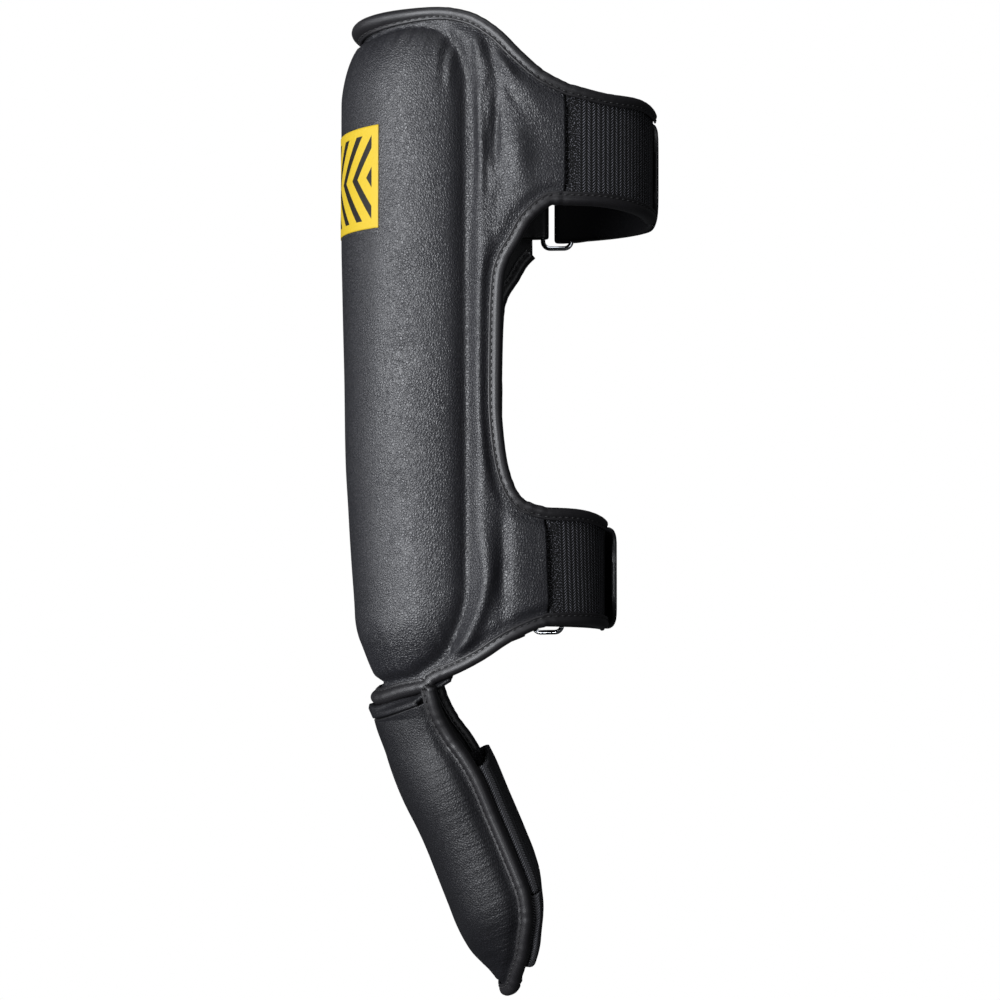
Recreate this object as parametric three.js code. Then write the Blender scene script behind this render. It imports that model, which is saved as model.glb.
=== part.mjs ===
// Shin guard with a hanging instep pad, as a scene graph of sewn pieces.
// Millimetres, +Z up. The front of the shin faces -X, the calf is at +X, and the guard is open
// inside for the leg. The origin is on the inner face of the shin pad, in the middle of its width
// and height, where the shin bears on it.
//
// Each sheet is first drawn flat, like the leather before it is sewn: "across" is the distance
// round the leg from the middle of the shin, "along" is the height. A form (leg or foot) then
// wraps the flat sheet, and "lift" is the height of a face above the form.
import * as THREE from 'three';

// Sizes of the shin part
const shinHeight = 358;      // top lip to bottom lip
const calfDepth = 132;       // inside the upper strap, front to back
const calfWidth = 108;       // inside the upper strap, side to side
const ankleDepth = 102;      // inside the lower strap, front to back
const ankleWidth = 90;       // inside the lower strap, side to side
const upperStrapLevel = 104; // middle of the upper strap above the origin
const lowerStrapLevel = -106;
const padThickness = 28.5;   // foam pad with its leather, at the shin bone
const wingThickness = 5;     // side wings, leather on thin foam
const edgeThickness = 3.4;   // sewn edge inside the binding
const padReach = 37;         // from the origin back to the groove behind the pad
const wingReach = 86;        // from the origin back to the end of the near upper wing
const ankleSet = 4.6;        // how far the ankle end of the shin lies behind the origin
const topFlare = 21;         // how far the top lip leans out in front
const bottomFlare = 16.5;
const flareReach = 62;       // distance across at which the lips' lean has died away

// Sizes of the trim
const gap = 0.3;             // between pieces that touch
const bindingWidth = 6.2;
const bindingWall = 1.2;
const bindingPlay = 0.5;     // between the faces of a bound edge and its binding
const badgeHeight = 52;
const badgeWidth = 70;       // along the inner face, so about 110 on the outside
const badgeThickness = 1;
const elasticThickness = 2.4;
const strapThickness = 2.6;
const upperStrapHeight = 58;
const lowerStrapHeight = 55;
const strapDrop = 7;         // how much lower the lower strap lies at the far side
const ringWire = 2.6;
const ringLength = 15;       // between the wires' middles, along the strap
const ringPlay = 2;          // between strap edge and ring
const tabThickness = 1.6;
const tabLeaf = 12;          // how far each leaf of a ring tab runs onto the wing
const tabInset = 5.4;        // from the edges of the wing to those of its tab

// Sizes of the instep pad
const footPadLength = 171;   // neck to tip
const footPadThickness = 18;
const footPadEdge = 3.4;
const footWidth = 94;        // inside, side to side
const footDepth = 116;       // of the oval that the pad is bent to
const footTilt = 24.5;       // degrees from the vertical
const neckHeight = 22;
const neckThickness = 2;
const footBandHeight = 70;
const toeBandHeight = 34;
const bandThickness = 2.2;

const halfHeight = shinHeight / 2;
const edgeMiddle = edgeThickness / 2;
const rimWidth = bindingWidth - bindingWall;  // plain rim that the binding grips

// Materials
const finish = (color, roughness, metalness = 0) =>
  new THREE.MeshStandardMaterial({ color, roughness, metalness, side: THREE.FrontSide });
const padLeather = finish('#1f1f22', 0.5);
const bindingLeather = finish('#262527', 0.55);
const wovenElastic = finish('#17171a', 0.9);
const chromedWire = finish('#c9ccd0', 0.15, 1);
const yellowPatch = finish('#ecd23a', 0.5);

// Helpers for numbers
const near = 1e-4;           // points closer than this are one point
const clamp = (value) => Math.min(1, Math.max(0, value));
const smooth = (value) => clamp(value) ** 2 * (3 - 2 * clamp(value));
const blend = (from, to, share) => from + (to - from) * share;

// Reads a table of rows [place, value], smoothly between its rows.
function readTable(table, place) {
  const last = table.length - 1;
  if (place <= table[0][0]) return table[0][1];
  if (place >= table[last][0]) return table[last][1];
  const next = table.findIndex((row) => row[0] > place);
  const [placeA, a] = table[next - 1];
  const [placeB, b] = table[next];
  const [placeBefore, before] = table[Math.max(next - 2, 0)];
  const [placeAfter, after] = table[Math.min(next + 1, last)];
  const step = placeB - placeA;
  const slopeA = (b - before) / (placeB - placeBefore) * step;
  const slopeB = (after - a) / (placeAfter - placeA) * step;
  const t = (place - placeA) / step;
  return a * (2 * t ** 3 - 3 * t ** 2 + 1) + slopeA * (t ** 3 - 2 * t ** 2 + t)
    + b * (3 * t ** 2 - 2 * t ** 3) + slopeB * (t ** 3 - t ** 2);
}

// A form is an oval tube of changing size that sheets are wrapped round.
// section(along) gives { front, rear, width }; flare(across, along) pushes the sheet outwards.
// What a face's lift has beyond the wing's thickness is padding, and that swells level outwards.
const ovalSteps = 90;
class Form {
  constructor(section, flare) {
    this.section = section;
    this.flare = flare;
    this.cache = new Map();
  }

  // Half of the oval at one height, from the front to the rear, with the arc length at each step.
  half(along) {
    const key = Math.round(along * 100);
    if (this.cache.has(key)) return this.cache.get(key);
    const { front, rear, width } = this.section(along);
    const steps = [];
    let arc = 0;
    for (let i = 0; i <= ovalSteps; i += 1) {
      const angle = Math.PI * i / ovalSteps;
      const x = (front + rear) / 2 - (rear - front) / 2 * Math.cos(angle);
      const y = width / 2 * Math.sin(angle);
      if (i) arc += Math.hypot(x - steps[i - 1].x, y - steps[i - 1].y);
      steps.push({ x, y, arc });
    }
    this.cache.set(key, steps);
    return steps;
  }

  halfLength(along) {
    return this.half(along)[ovalSteps].arc;
  }

  // The point on the oval at a distance across; the near side (-Y) is negative.
  onOval(across, along) {
    const steps = this.half(along);
    const total = steps[ovalSteps].arc;
    let arc = Math.abs(across);
    let side = across < 0 ? -1 : 1;
    if (arc > total) {
      arc = 2 * total - arc;
      side = -side;
    }
    let i = 1;
    while (i < ovalSteps && steps[i].arc < arc) i += 1;
    const t = (arc - steps[i - 1].arc) / (steps[i].arc - steps[i - 1].arc);
    return new THREE.Vector3(
      blend(steps[i - 1].x, steps[i].x, t), side * blend(steps[i - 1].y, steps[i].y, t), along);
  }

  // Distance across at which the oval has come back to x, on the near side of the middle.
  acrossAt(x, along) {
    const steps = this.half(along);
    let i = 1;
    while (i < ovalSteps && steps[i].x < x) i += 1;
    const t = (x - steps[i - 1].x) / (steps[i].x - steps[i - 1].x);
    return Math.max(0, blend(steps[i - 1].arc, steps[i].arc, t));
  }

  bare(across, along) {
    const probe = 1;
    const p = this.onOval(across, along);
    const before = this.onOval(across - probe, along);
    const after = this.onOval(across + probe, along);
    const outward = new THREE.Vector3(-(after.y - before.y), after.x - before.x, 0).normalize();
    return p.addScaledVector(outward, this.flare(across, along));
  }

  point(across, along, lift) {
    const probe = 1;
    const p = this.bare(across, along);
    const u = this.bare(across + probe, along).sub(this.bare(across - probe, along));
    const v = this.bare(across, along + probe).sub(this.bare(across, along - probe));
    const normal = v.cross(u).normalize();
    const level = new THREE.Vector3(normal.x, normal.y, 0).normalize();
    const skin = Math.min(lift, wingThickness);
    return p.addScaledVector(normal, skin).addScaledVector(level, lift - skin);
  }
}

// Helpers for solids. Every solid is a list of points and triangles that closes on itself; if its
// faces point inwards, all of them are turned round.
function solid(name, points, triangles, material) {
  const volume = triangles.reduce(
    (sum, [i, j, k]) => sum + points[i].dot(points[j].clone().cross(points[k])), 0);
  const faces = volume > 0 ? triangles : triangles.map(([i, j, k]) => [i, k, j]);
  const geometry = new THREE.BufferGeometry();
  geometry.setAttribute('position', new THREE.Float32BufferAttribute(
    points.flatMap((p) => [p.x, p.y, p.z]), 3));
  geometry.setIndex(faces.flat());
  geometry.computeVertexNormals();
  const mesh = new THREE.Mesh(geometry, material);
  mesh.name = name;
  return mesh;
}

// Triangles of a flat outline, each turning the same way as the outline does.
function fillFlat(flat) {
  const corners = flat.map((p) => new THREE.Vector2(...p));
  const turn = (a, b, c) => Math.sign((b.x - a.x) * (c.y - a.y) - (b.y - a.y) * (c.x - a.x));
  const side = Math.sign(THREE.ShapeUtils.area(corners));
  return THREE.ShapeUtils.triangulateShape(corners, []).map(([i, j, k]) => (
    turn(corners[i], corners[j], corners[k]) === -side ? [i, k, j] : [i, j, k]));
}

// Keeps the part of a flat outline on one side of a line, across or along.
function clipSide(outline, axis, limit, keepAbove) {
  const kept = [];
  const inside = (p) => (keepAbove ? p[axis] >= limit : p[axis] <= limit);
  outline.forEach((b, i) => {
    const a = outline[(i + outline.length - 1) % outline.length];
    if (inside(a) !== inside(b)) {
      const t = (limit - a[axis]) / (b[axis] - a[axis]);
      const crossing = [blend(a[0], b[0], t), blend(a[1], b[1], t)];
      crossing[axis] = limit;
      kept.push(crossing);
    }
    if (inside(b)) kept.push(b);
  });
  return kept;
}

// Cuts a flat outline (counter-clockwise) into the cells of a grid and triangulates each cell.
function cutSheet(outline, columns, rows) {
  const points = [];
  const places = new Map();
  const triangles = [];
  const place = ([a, b]) => {
    const key = `${Math.round(a / near)},${Math.round(b / near)}`;
    if (!places.has(key)) {
      places.set(key, points.length);
      points.push([a, b]);
    }
    return places.get(key);
  };
  for (let c = 1; c < columns.length; c += 1) {
    const strip = clipSide(clipSide(outline, 0, columns[c - 1], true), 0, columns[c], false);
    for (let r = 1; r < rows.length; r += 1) {
      const cell = clipSide(clipSide(strip, 1, rows[r - 1], true), 1, rows[r], false);
      const corners = [...new Set(cell.map(place))];
      if (corners.length < 3) continue;
      fillFlat(corners.map((k) => points[k])).forEach((t) => {
        triangles.push(t.map((k) => corners[k]));
      });
    }
  }
  return { points, triangles };
}

// The outline moved inwards by a margin; its corners turn by less than half a circle.
function insetOutline(outline, margin) {
  const last = outline.length - 1;
  return outline.map((p, i) => {
    const before = outline[i ? i - 1 : last];
    const after = outline[i < last ? i + 1 : 0];
    const [normalA, normalB] = [[before, p], [p, after]].map(([from, to]) => {
      const length = Math.hypot(to[0] - from[0], to[1] - from[1]);
      return [-(to[1] - from[1]) / length, (to[0] - from[0]) / length];
    });
    const scale = margin / (1 + normalA[0] * normalB[0] + normalA[1] * normalB[1]);
    return [p[0] + (normalA[0] + normalB[0]) * scale, p[1] + (normalA[1] + normalB[1]) * scale];
  });
}

// A cut sheet with a plain rim of even width along its outline, for the binding to grip. Its
// columns are shares of width(along), so that they follow a line drawn on the sheet.
function rimmedSheet(outline, margin, width, columns, rows) {
  const toShare = ([a, b]) => [a / width(b), b];
  const outer = outline.map(toShare);
  const inner = insetOutline(outline, margin).map(toShare);
  const { points, triangles } = cutSheet(inner, columns, rows);
  const found = (p) => points.findIndex((q) => Math.hypot(q[0] - p[0], q[1] - p[1]) < near);
  const innerCorners = inner.map(found);
  const first = points.length;
  points.push(...outer);
  inner.forEach((p, i) => {
    const j = (i + 1) % inner.length;
    const [dx, dy] = [inner[j][0] - p[0], inner[j][1] - p[1]];
    const length = Math.hypot(dx, dy);
    const between = [];
    for (let k = 0; k < first; k += 1) {
      const [x, y] = [points[k][0] - p[0], points[k][1] - p[1]];
      const t = (x * dx + y * dy) / length ** 2;
      const off = Math.abs(x * dy - y * dx) / length;
      if (off < near && t > near / 10 && t < 1 - near / 10) between.push([t, k]);
    }
    const run = [
      innerCorners[i], ...between.sort((q, r) => q[0] - r[0]).map(([, k]) => k), innerCorners[j]];
    for (let k = 1; k < run.length; k += 1) triangles.push([first + i, run[k], run[k - 1]]);
    triangles.push([first + i, first + j, run.at(-1)]);
  });
  return { points: points.map(([a, b]) => [a * width(b), b]), triangles };
}

// Wraps a cut sheet round a form as a closed solid between two lifts.
function wrapSheet(name, sheet, form, innerLift, outerLift, material) {
  const count = sheet.points.length;
  const inner = sheet.points.map(([a, b]) => form.point(a, b, innerLift(a, b)));
  const outer = sheet.points.map(([a, b]) => form.point(a, b, outerLift(a, b)));
  const edges = new Map();
  const triangles = [];
  sheet.triangles.forEach(([i, j, k]) => {
    triangles.push([i, j, k], [i + count, k + count, j + count]);
    [[i, j], [j, k], [k, i]].forEach(([p, q]) => {
      if (!edges.delete(`${q},${p}`)) edges.set(`${p},${q}`, [p, q]);
    });
  });
  edges.forEach(([p, q]) => {
    triangles.push([p, q + count, q], [p, p + count, q + count]);
  });
  return solid(name, [...inner, ...outer], triangles, material);
}

// Joins rings of points, all with the same count, into a tube. With the triangles of a cap the
// tube is open and its two ends are closed by it; without them it closes on itself.
function tube(name, rings, cap, material) {
  const size = rings[0].length;
  const triangles = [];
  const joins = cap ? rings.length - 1 : rings.length;
  for (let r = 0; r < joins; r += 1) {
    const next = (r + 1) % rings.length;
    for (let k = 0; k < size; k += 1) {
      const l = (k + 1) % size;
      triangles.push([r * size + k, r * size + l, next * size + l]);
      triangles.push([r * size + k, next * size + l, next * size + k]);
    }
  }
  if (cap) {
    const end = (rings.length - 1) * size;
    cap.forEach(([i, j, k]) => triangles.push([i, k, j], [end + i, end + j, end + k]));
  }
  return solid(name, rings.flat(), triangles, material);
}

// The cap of a ribbon: its ring runs along one face and back along the other.
function ladder(count) {
  const last = 2 * count - 1;
  return Array.from({ length: count - 1 }, (_, k) => [
    [k, k + 1, last - k - 1], [k, last - k - 1, last - k]]).flat();
}

// A sheet of even thickness through the points of a grid.
function sheetThrough(name, grid, thickness, material) {
  const faces = grid.map((row, r) => row.map((p, c) => {
    const along = grid[Math.min(r + 1, grid.length - 1)][c].clone().sub(grid[Math.max(r - 1, 0)][c]);
    const across = row[Math.min(c + 1, row.length - 1)].clone().sub(row[Math.max(c - 1, 0)]);
    const normal = across.cross(along).normalize().multiplyScalar(thickness / 2);
    return [p.clone().add(normal), p.clone().sub(normal)];
  }));
  const rings = faces.map((row) => [
    ...row.map(([, back]) => back), ...row.map(([front]) => front).reverse()]);
  return tube(name, rings, ladder(grid[0].length), material);
}

// Samples a smooth flat curve through a few points at about equal steps.
function smoothPath(points, step) {
  const curve = new THREE.SplineCurve(points.map((p) => new THREE.Vector2(...p)));
  const count = Math.max(2, Math.round(curve.getLength() / step));
  return curve.getSpacedPoints(count).map((p) => [p.x, p.y]);
}

// A folded strip over the edge of a sheet. The path runs along the edge with the sheet on its
// left; the section is a channel with the sheet's edge in its mouth.
const bindingRound = 0.8;    // rounding of its outer corners, as a share of its wall
function bindEdge(name, path, form, material) {
  const top = edgeThickness + bindingPlay;
  const bottom = -bindingPlay;
  const depth = bindingWidth - bindingWall - 2 * gap;
  const outside = gap + bindingWall;
  const corner = bindingWall * bindingRound;
  const section = [
    [-depth, top], [-depth, top + bindingWall], [outside - corner, top + bindingWall],
    [outside, top + bindingWall - corner], [outside, bottom - bindingWall + corner],
    [outside - corner, bottom - bindingWall], [-depth, bottom - bindingWall], [-depth, bottom],
    [gap, bottom], [gap, top],
  ];
  const rings = path.map((p, i) => {
    const a = path[Math.max(i - 1, 0)];
    const b = path[Math.min(i + 1, path.length - 1)];
    const length = Math.hypot(b[0] - a[0], b[1] - a[1]);
    const right = [(b[1] - a[1]) / length, -(b[0] - a[0]) / length];
    return section.map(([out, lift]) =>
      form.point(p[0] + right[0] * out, p[1] + right[1] * out, lift));
  });
  return tube(name, rings, fillFlat(section), material);
}

// A strap that runs round a form: its path gives [across, lift], its edges the height.
function strapRound(name, path, thickness, form, edges, rows, material) {
  const left = [];
  const right = [];
  path.forEach((p, i) => {
    const a = path[Math.max(i - 1, 0)];
    const b = path[Math.min(i + 1, path.length - 1)];
    const length = Math.hypot(b[0] - a[0], b[1] - a[1]);
    const normal = [-(b[1] - a[1]) / length, (b[0] - a[0]) / length];
    left.push([p[0] + normal[0] * thickness / 2, p[1] + normal[1] * thickness / 2]);
    right.push([p[0] - normal[0] * thickness / 2, p[1] - normal[1] * thickness / 2]);
  });
  const outline = [...right, ...left.reverse()];
  const rings = [];
  for (let r = 0; r <= rows; r += 1) {
    rings.push(outline.map(([across, lift]) => {
      const [low, high] = edges(across);
      return form.point(across, blend(low, high, r / rows), lift);
    }));
  }
  return tube(name, rings, ladder(path.length), material);
}

// The leg form. It is even behind each strap and tapers between the two.
// Front of the inner face: [share of halfHeight, share of ankleSet].
const frontLine = [
  [-1, 1], [-0.75, 1], [-0.6, 0.78], [-0.43, 0.52], [-0.28, 0.22], [0, 0], [0.3, -0.25],
  [0.4, -0.28], [1, -0.28]];
const legSection = (along) => {
  const low = lowerStrapLevel + lowerStrapHeight / 2;
  const high = upperStrapLevel - upperStrapHeight / 2;
  const share = smooth((along - low) / (high - low));
  return {
    front: ankleSet * readTable(frontLine, along / halfHeight),
    rear: blend(ankleSet + ankleDepth, calfDepth, share),
    width: blend(ankleWidth, calfWidth, share),
  };
};
// The lips lean out in front, less and less towards the sides.
const topLean = 0.78;        // share of the half height at which the top lip starts to lean
const bottomLean = 0.81;
const topCurve = 2;          // powers of the lean's curve, up the lip and round it
const bottomCurve = 1.8;
const sideCurve = 1.5;
const legFlare = (across, along) => {
  const side = Math.cos(Math.PI / 2 * clamp(Math.abs(across) / flareReach)) ** sideCurve;
  const start = (along > 0 ? topLean : bottomLean) * halfHeight;
  const rise = (Math.abs(along) - start) / (halfHeight - start);
  if (rise <= 0) return 0;
  return side * (along > 0 ? topFlare * rise ** topCurve : bottomFlare * rise ** bottomCurve);
};
const leg = new Form(legSection, legFlare);

// Outline of the sewn edge seen from the side: [share of wingReach, share of halfHeight].
const topEdge = [
  [-0.01, 0.991], [0.14, 0.991], [0.29, 0.987], [0.42, 0.972], [0.52, 0.949], [0.63, 0.908],
  [0.745, 0.85], [0.87, 0.797], [1, 0.765],
];
const backEdge = [
  [1, 0.439], [0.91, 0.435], [0.80, 0.390], [0.73, 0.331], [0.66, 0.268], [0.632, 0.19],
  [0.62, -0.06], [0.626, -0.184], [0.663, -0.313], [0.742, -0.396], [0.895, -0.425],
];
const bottomEdge = [
  [0.895, -0.743], [0.805, -0.759], [0.67, -0.793], [0.535, -0.838], [0.407, -0.874],
  [0.26, -0.913],
];
// Bottom lip in front: [share of ankleWidth across, share of halfHeight].
const bottomLip = [[0.43, -0.931], [0.27, -0.958], [0.13, -0.985], [0, -0.991]];
const farWingShare = 0.88;   // the far wings are shorter: there the rings take the straps

// Turns side-view rows into flat points on one side of the leg.
const flatten = (table, side) => table.map(([x, z]) => {
  const along = z * halfHeight;
  return [side * leg.acrossAt(x * wingReach, along), along];
});

const pathStep = 9;
const cornerRoom = 7;        // no point of an outline lies closer than this to a corner
const upperWingEnd = leg.acrossAt(wingReach, upperStrapLevel);
const lowerWingEnd = leg.acrossAt(backEdge.at(-1)[0] * wingReach, lowerStrapLevel);
const nearTop = smoothPath([
  [0, topEdge[0][1] * halfHeight], ...flatten(topEdge.slice(1, -1), -1),
  [-upperWingEnd, topEdge.at(-1)[1] * halfHeight]], pathStep);
const nearBack = smoothPath([
  [-upperWingEnd, backEdge[0][1] * halfHeight], ...flatten(backEdge.slice(1, -1), -1),
  [-lowerWingEnd, backEdge.at(-1)[1] * halfHeight]], pathStep);
const lipPoints = bottomLip.map(([a, b]) => [-a * ankleWidth, b * halfHeight]);
const nearBottom = smoothPath([
  [-lowerWingEnd, bottomEdge[0][1] * halfHeight], ...flatten(bottomEdge.slice(1), -1), ...lipPoints,
], pathStep);
const mirror = (path) => path.map(([a, b]) => [-a, b]);
const upperFarEnd = upperWingEnd * farWingShare;
const lowerFarEnd = lowerWingEnd * farWingShare;

// The far side is the near side mirrored, with its wings cut off at a corner. The pull of the
// straps on their rings has drawn these ends down.
const farDrop = 8;
const dropStart = 0.55;      // share of the way to the wing's end
const drawnDown = (path, limit) => path.map(([a, b]) => [
  a, b - farDrop * smooth((a / limit - dropStart) / (1 - dropStart))]);
const edgeAt = (path, across) => {
  const sorted = path.map(([a, b]) => [Math.abs(a), b]).sort((p, q) => p[0] - q[0]);
  return readTable(sorted, Math.abs(across));
};
const short = (path, [limit, level]) => mirror(path).filter(
  ([a, b]) => a < limit && Math.hypot(a - limit, b - level) > cornerRoom);
const upperHalf = nearBack.filter(([, b]) => b > 0);
const lowerHalf = nearBack.filter(([, b]) => b <= 0);
const farUpperCorners = [
  [upperFarEnd, edgeAt(nearTop, upperFarEnd)], [upperFarEnd, edgeAt(upperHalf, upperFarEnd)]];
const farLowerCorners = [
  [lowerFarEnd, edgeAt(lowerHalf, lowerFarEnd)], [lowerFarEnd, edgeAt(nearBottom, lowerFarEnd)]];
const farTop = drawnDown(
  [...short(nearTop, farUpperCorners[0]), farUpperCorners[0]], upperFarEnd);
const farBack = [
  ...drawnDown([farUpperCorners[1], ...short(upperHalf, farUpperCorners[1])], upperFarEnd),
  ...drawnDown([...short(lowerHalf, farLowerCorners[0]), farLowerCorners[0]], lowerFarEnd)];
const farBottom = drawnDown(
  [farLowerCorners[1], ...short(nearBottom, farLowerCorners[1])], lowerFarEnd);

// The whole outline, counter-clockwise as seen from outside with the near side at the left.
const shellOutline = [
  ...nearTop.slice(1), ...nearBack, ...nearBottom, ...[...farBottom].reverse().slice(1),
  ...[...farBack].reverse(), ...[...farTop].reverse()];

function edgeDistance(outline, across, along) {
  let best = Infinity;
  outline.forEach(([x1, y1], i) => {
    const [x0, y0] = outline[(i + outline.length - 1) % outline.length];
    const length = (x1 - x0) ** 2 + (y1 - y0) ** 2;
    const t = length ? clamp(((across - x0) * (x1 - x0) + (along - y0) * (y1 - y0)) / length) : 0;
    best = Math.min(best, Math.hypot(across - x0 - t * (x1 - x0), along - y0 - t * (y1 - y0)));
  });
  return best;
}

// How far a flat point lies inside a rounded rectangle.
function insideRounded(across, along, half, low, high, radius) {
  const dx = Math.abs(across) - (half - radius);
  const dy = Math.abs(along - (low + high) / 2) - ((high - low) / 2 - radius);
  return radius - Math.hypot(Math.max(dx, 0), Math.max(dy, 0)) - Math.min(Math.max(dx, dy), 0);
}

// Thickness of the shell: a domed pad, a groove behind it, a low ridge, then the wing.
const padTop = 0.958;        // share of the half height at which the pad meets the top lip
const padBottom = -0.947;
const topRound = 34;         // how far in from its seam the pad has its full height
const bottomRound = 38;
const cornerRadius = 36;
const sideTaper = 0.5;       // share of the pad's thickness lost at its side
const ankleTaper = 0.1;      // and towards the ankle
const ankleStart = 0.3;      // share of the half height below the middle where that begins
const domePower = 0.8;       // how full the pad is near its seam; 0.5 is a quarter circle
const grooveWidth = 7;
const ridgeHeight = 2.6;
const ridgePlace = 1.1;      // behind the groove, in groove widths
const ridgeWidth = 0.55;
const lipEase = 4;           // from the rim to the pad's full height
const wingEase = 6;          // from the rim to the wing's full thickness
const groove = (along) => leg.acrossAt(padReach, along);
function shellThickness(across, along) {
  const half = groove(along);
  const inside = insideRounded(
    across, along, half, padBottom * halfHeight, padTop * halfHeight, cornerRadius);
  const round = blend(bottomRound, topRound, clamp(0.5 + along / halfHeight));
  const dome = (1 - (1 - clamp(inside / round)) ** 2) ** domePower;
  const share = clamp(Math.abs(across) / half);
  const slim = 1 - ankleTaper * smooth(-along / halfHeight - ankleStart);
  const pad = (padThickness * slim - wingThickness) * (1 - sideTaper * share ** 2) * dome;
  const behind = (Math.abs(across) - half) / grooveWidth;
  const ridge = ridgeHeight * Math.exp(-(((behind - ridgePlace) / ridgeWidth) ** 2));
  const edge = edgeDistance(shellOutline, across, along);
  const wing = blend(edgeThickness, wingThickness, smooth((edge - rimWidth) / wingEase));
  const lipFade = smooth((edge - rimWidth) / lipEase);
  return wing + (pad + ridge) * lipFade;
}

// The grid's columns are shares of the distance from the front to the groove, so that they
// follow it; its rows are shares of the half height, closer together at the lips.
const halfColumns = [
  0, 0.14, 0.28, 0.42, 0.55, 0.67, 0.78, 0.87, 0.94, 1, 1.05, 1.1, 1.15, 1.2, 1.28, 1.38, 1.5,
  1.64, 1.9];
const bothSides = (shares) => [...shares.slice(1).map((a) => -a).reverse(), ...shares];
const shellRows = [
  -1.02, -0.965, padBottom, -0.92, -0.88, -0.83, -0.77, -0.7, -0.62, -0.53, -0.43, -0.32, -0.2,
  -0.08, 0.04, 0.16, 0.28, 0.4, 0.5, 0.6, 0.69, 0.77, 0.83, 0.88, 0.92, 0.95, 0.97, 1.02];
const shellSheet = rimmedSheet(
  shellOutline, rimWidth, groove, bothSides(halfColumns),
  shellRows.map((share) => share * halfHeight));
const paddedShell = wrapSheet(
  'padded_shell', shellSheet, leg, () => 0, shellThickness, padLeather);

// Badge on the front of the pad
const badgeMiddle = 0.516;   // share of the half height
const badgeCorner = 4;
function roundedOutline(halfWidth, low, high, radius) {
  const outline = [];
  const corners = [[1, 1, 0], [-1, 1, 1], [-1, -1, 2], [1, -1, 3]];
  corners.forEach(([sx, sy, quarter]) => {
    for (let i = 0; i <= 3; i += 1) {
      const angle = Math.PI / 2 * (quarter + i / 3);
      outline.push([
        sx * (halfWidth - radius) + radius * Math.cos(angle),
        (sy > 0 ? high - radius : low + radius) + radius * Math.sin(angle)]);
    }
  });
  return outline;
}
const badgeLow = badgeMiddle * halfHeight - badgeHeight / 2;
const badgeOutline = roundedOutline(badgeWidth / 2, badgeLow, badgeLow + badgeHeight, badgeCorner);
const badgeCut = cutSheet(
  badgeOutline.map(([a, b]) => [a / groove(b), b]), bothSides(halfColumns),
  shellRows.map((share) => share * halfHeight));
const badgeSheet = {
  points: badgeCut.points.map(([a, b]) => [a * groove(b), b]), triangles: badgeCut.triangles };
const badgePatch = wrapSheet(
  'badge_patch', badgeSheet, leg,
  (a, b) => shellThickness(a, b) + gap, (a, b) => shellThickness(a, b) + gap + badgeThickness,
  yellowPatch);

// Elastic panels and straps behind the calf and the ankle.
// Edges of each panel or strap: [share of the way to the rear, low, high], both as shares of
// halfHeight; the rear is at 1 and the far side is past it.
const upperRear = leg.halfLength(upperStrapLevel);
const lowerRear = leg.halfLength(lowerStrapLevel);
const elasticEnd = 8;        // the elastic stops this far before the middle of the rear
// They start at the ends of the wing's own edges.
const upperElasticEdges = [
  [0.6, backEdge[0][1], topEdge.at(-1)[1]], [0.72, 0.441, 0.745], [0.86, 0.432, 0.747],
  [1, 0.417, 0.728]];
const lowerElasticEdges = [
  [0.6, bottomEdge[0][1], backEdge.at(-1)[1]], [0.8, -0.748, -0.434], [1, -0.774, -0.472]];
// A strap has one height all the way; it is given by its middle: [share of the way, middle].
const strapFall = strapDrop / halfHeight;
const upperStrapMiddle = [[0.9, 0.5715], [1, 0.5715], [1.6, 0.5675]];
const lowerStrapMiddle = [[0.9, -0.6275], [1, -0.6295], [1.6, -0.5985 - strapFall]];
const strapEdges = (table, height) => table.map(([share, middle]) => [
  share, middle - height / 2 / halfHeight, middle + height / 2 / halfHeight]);
const upperStrapEdges = strapEdges(upperStrapMiddle, upperStrapHeight);
const lowerStrapEdges = strapEdges(lowerStrapMiddle, lowerStrapHeight);
const edgesOf = (table, rear) => (across) => {
  const share = Math.abs(across) / rear;
  return [1, 2].map((column) =>
    readTable(table.map((row) => [row[0], row[column]]), share) * halfHeight);
};
const panelStep = 9;
function levelPath(from, to, lift) {
  const count = Math.round(Math.abs(to - from) / panelStep);
  return Array.from({ length: count + 1 }, (_, i) => [blend(from, to, i / count), lift]);
}
const elasticPlaces = (from, rear) =>
  levelPath(-(from + panelStep / 2), -(rear - elasticEnd), edgeMiddle);
function elasticPanel(name, from, rear, table) {
  return strapRound(
    name, [[-(from + gap), edgeMiddle], ...elasticPlaces(from, rear)], elasticThickness, leg,
    edgesOf(table, rear), 2, wovenElastic);
}
const elasticUpper = elasticPanel('elastic_upper', upperWingEnd, upperRear, upperElasticEdges);
const elasticLower = elasticPanel('elastic_lower', lowerWingEnd, lowerRear, lowerElasticEdges);

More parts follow.
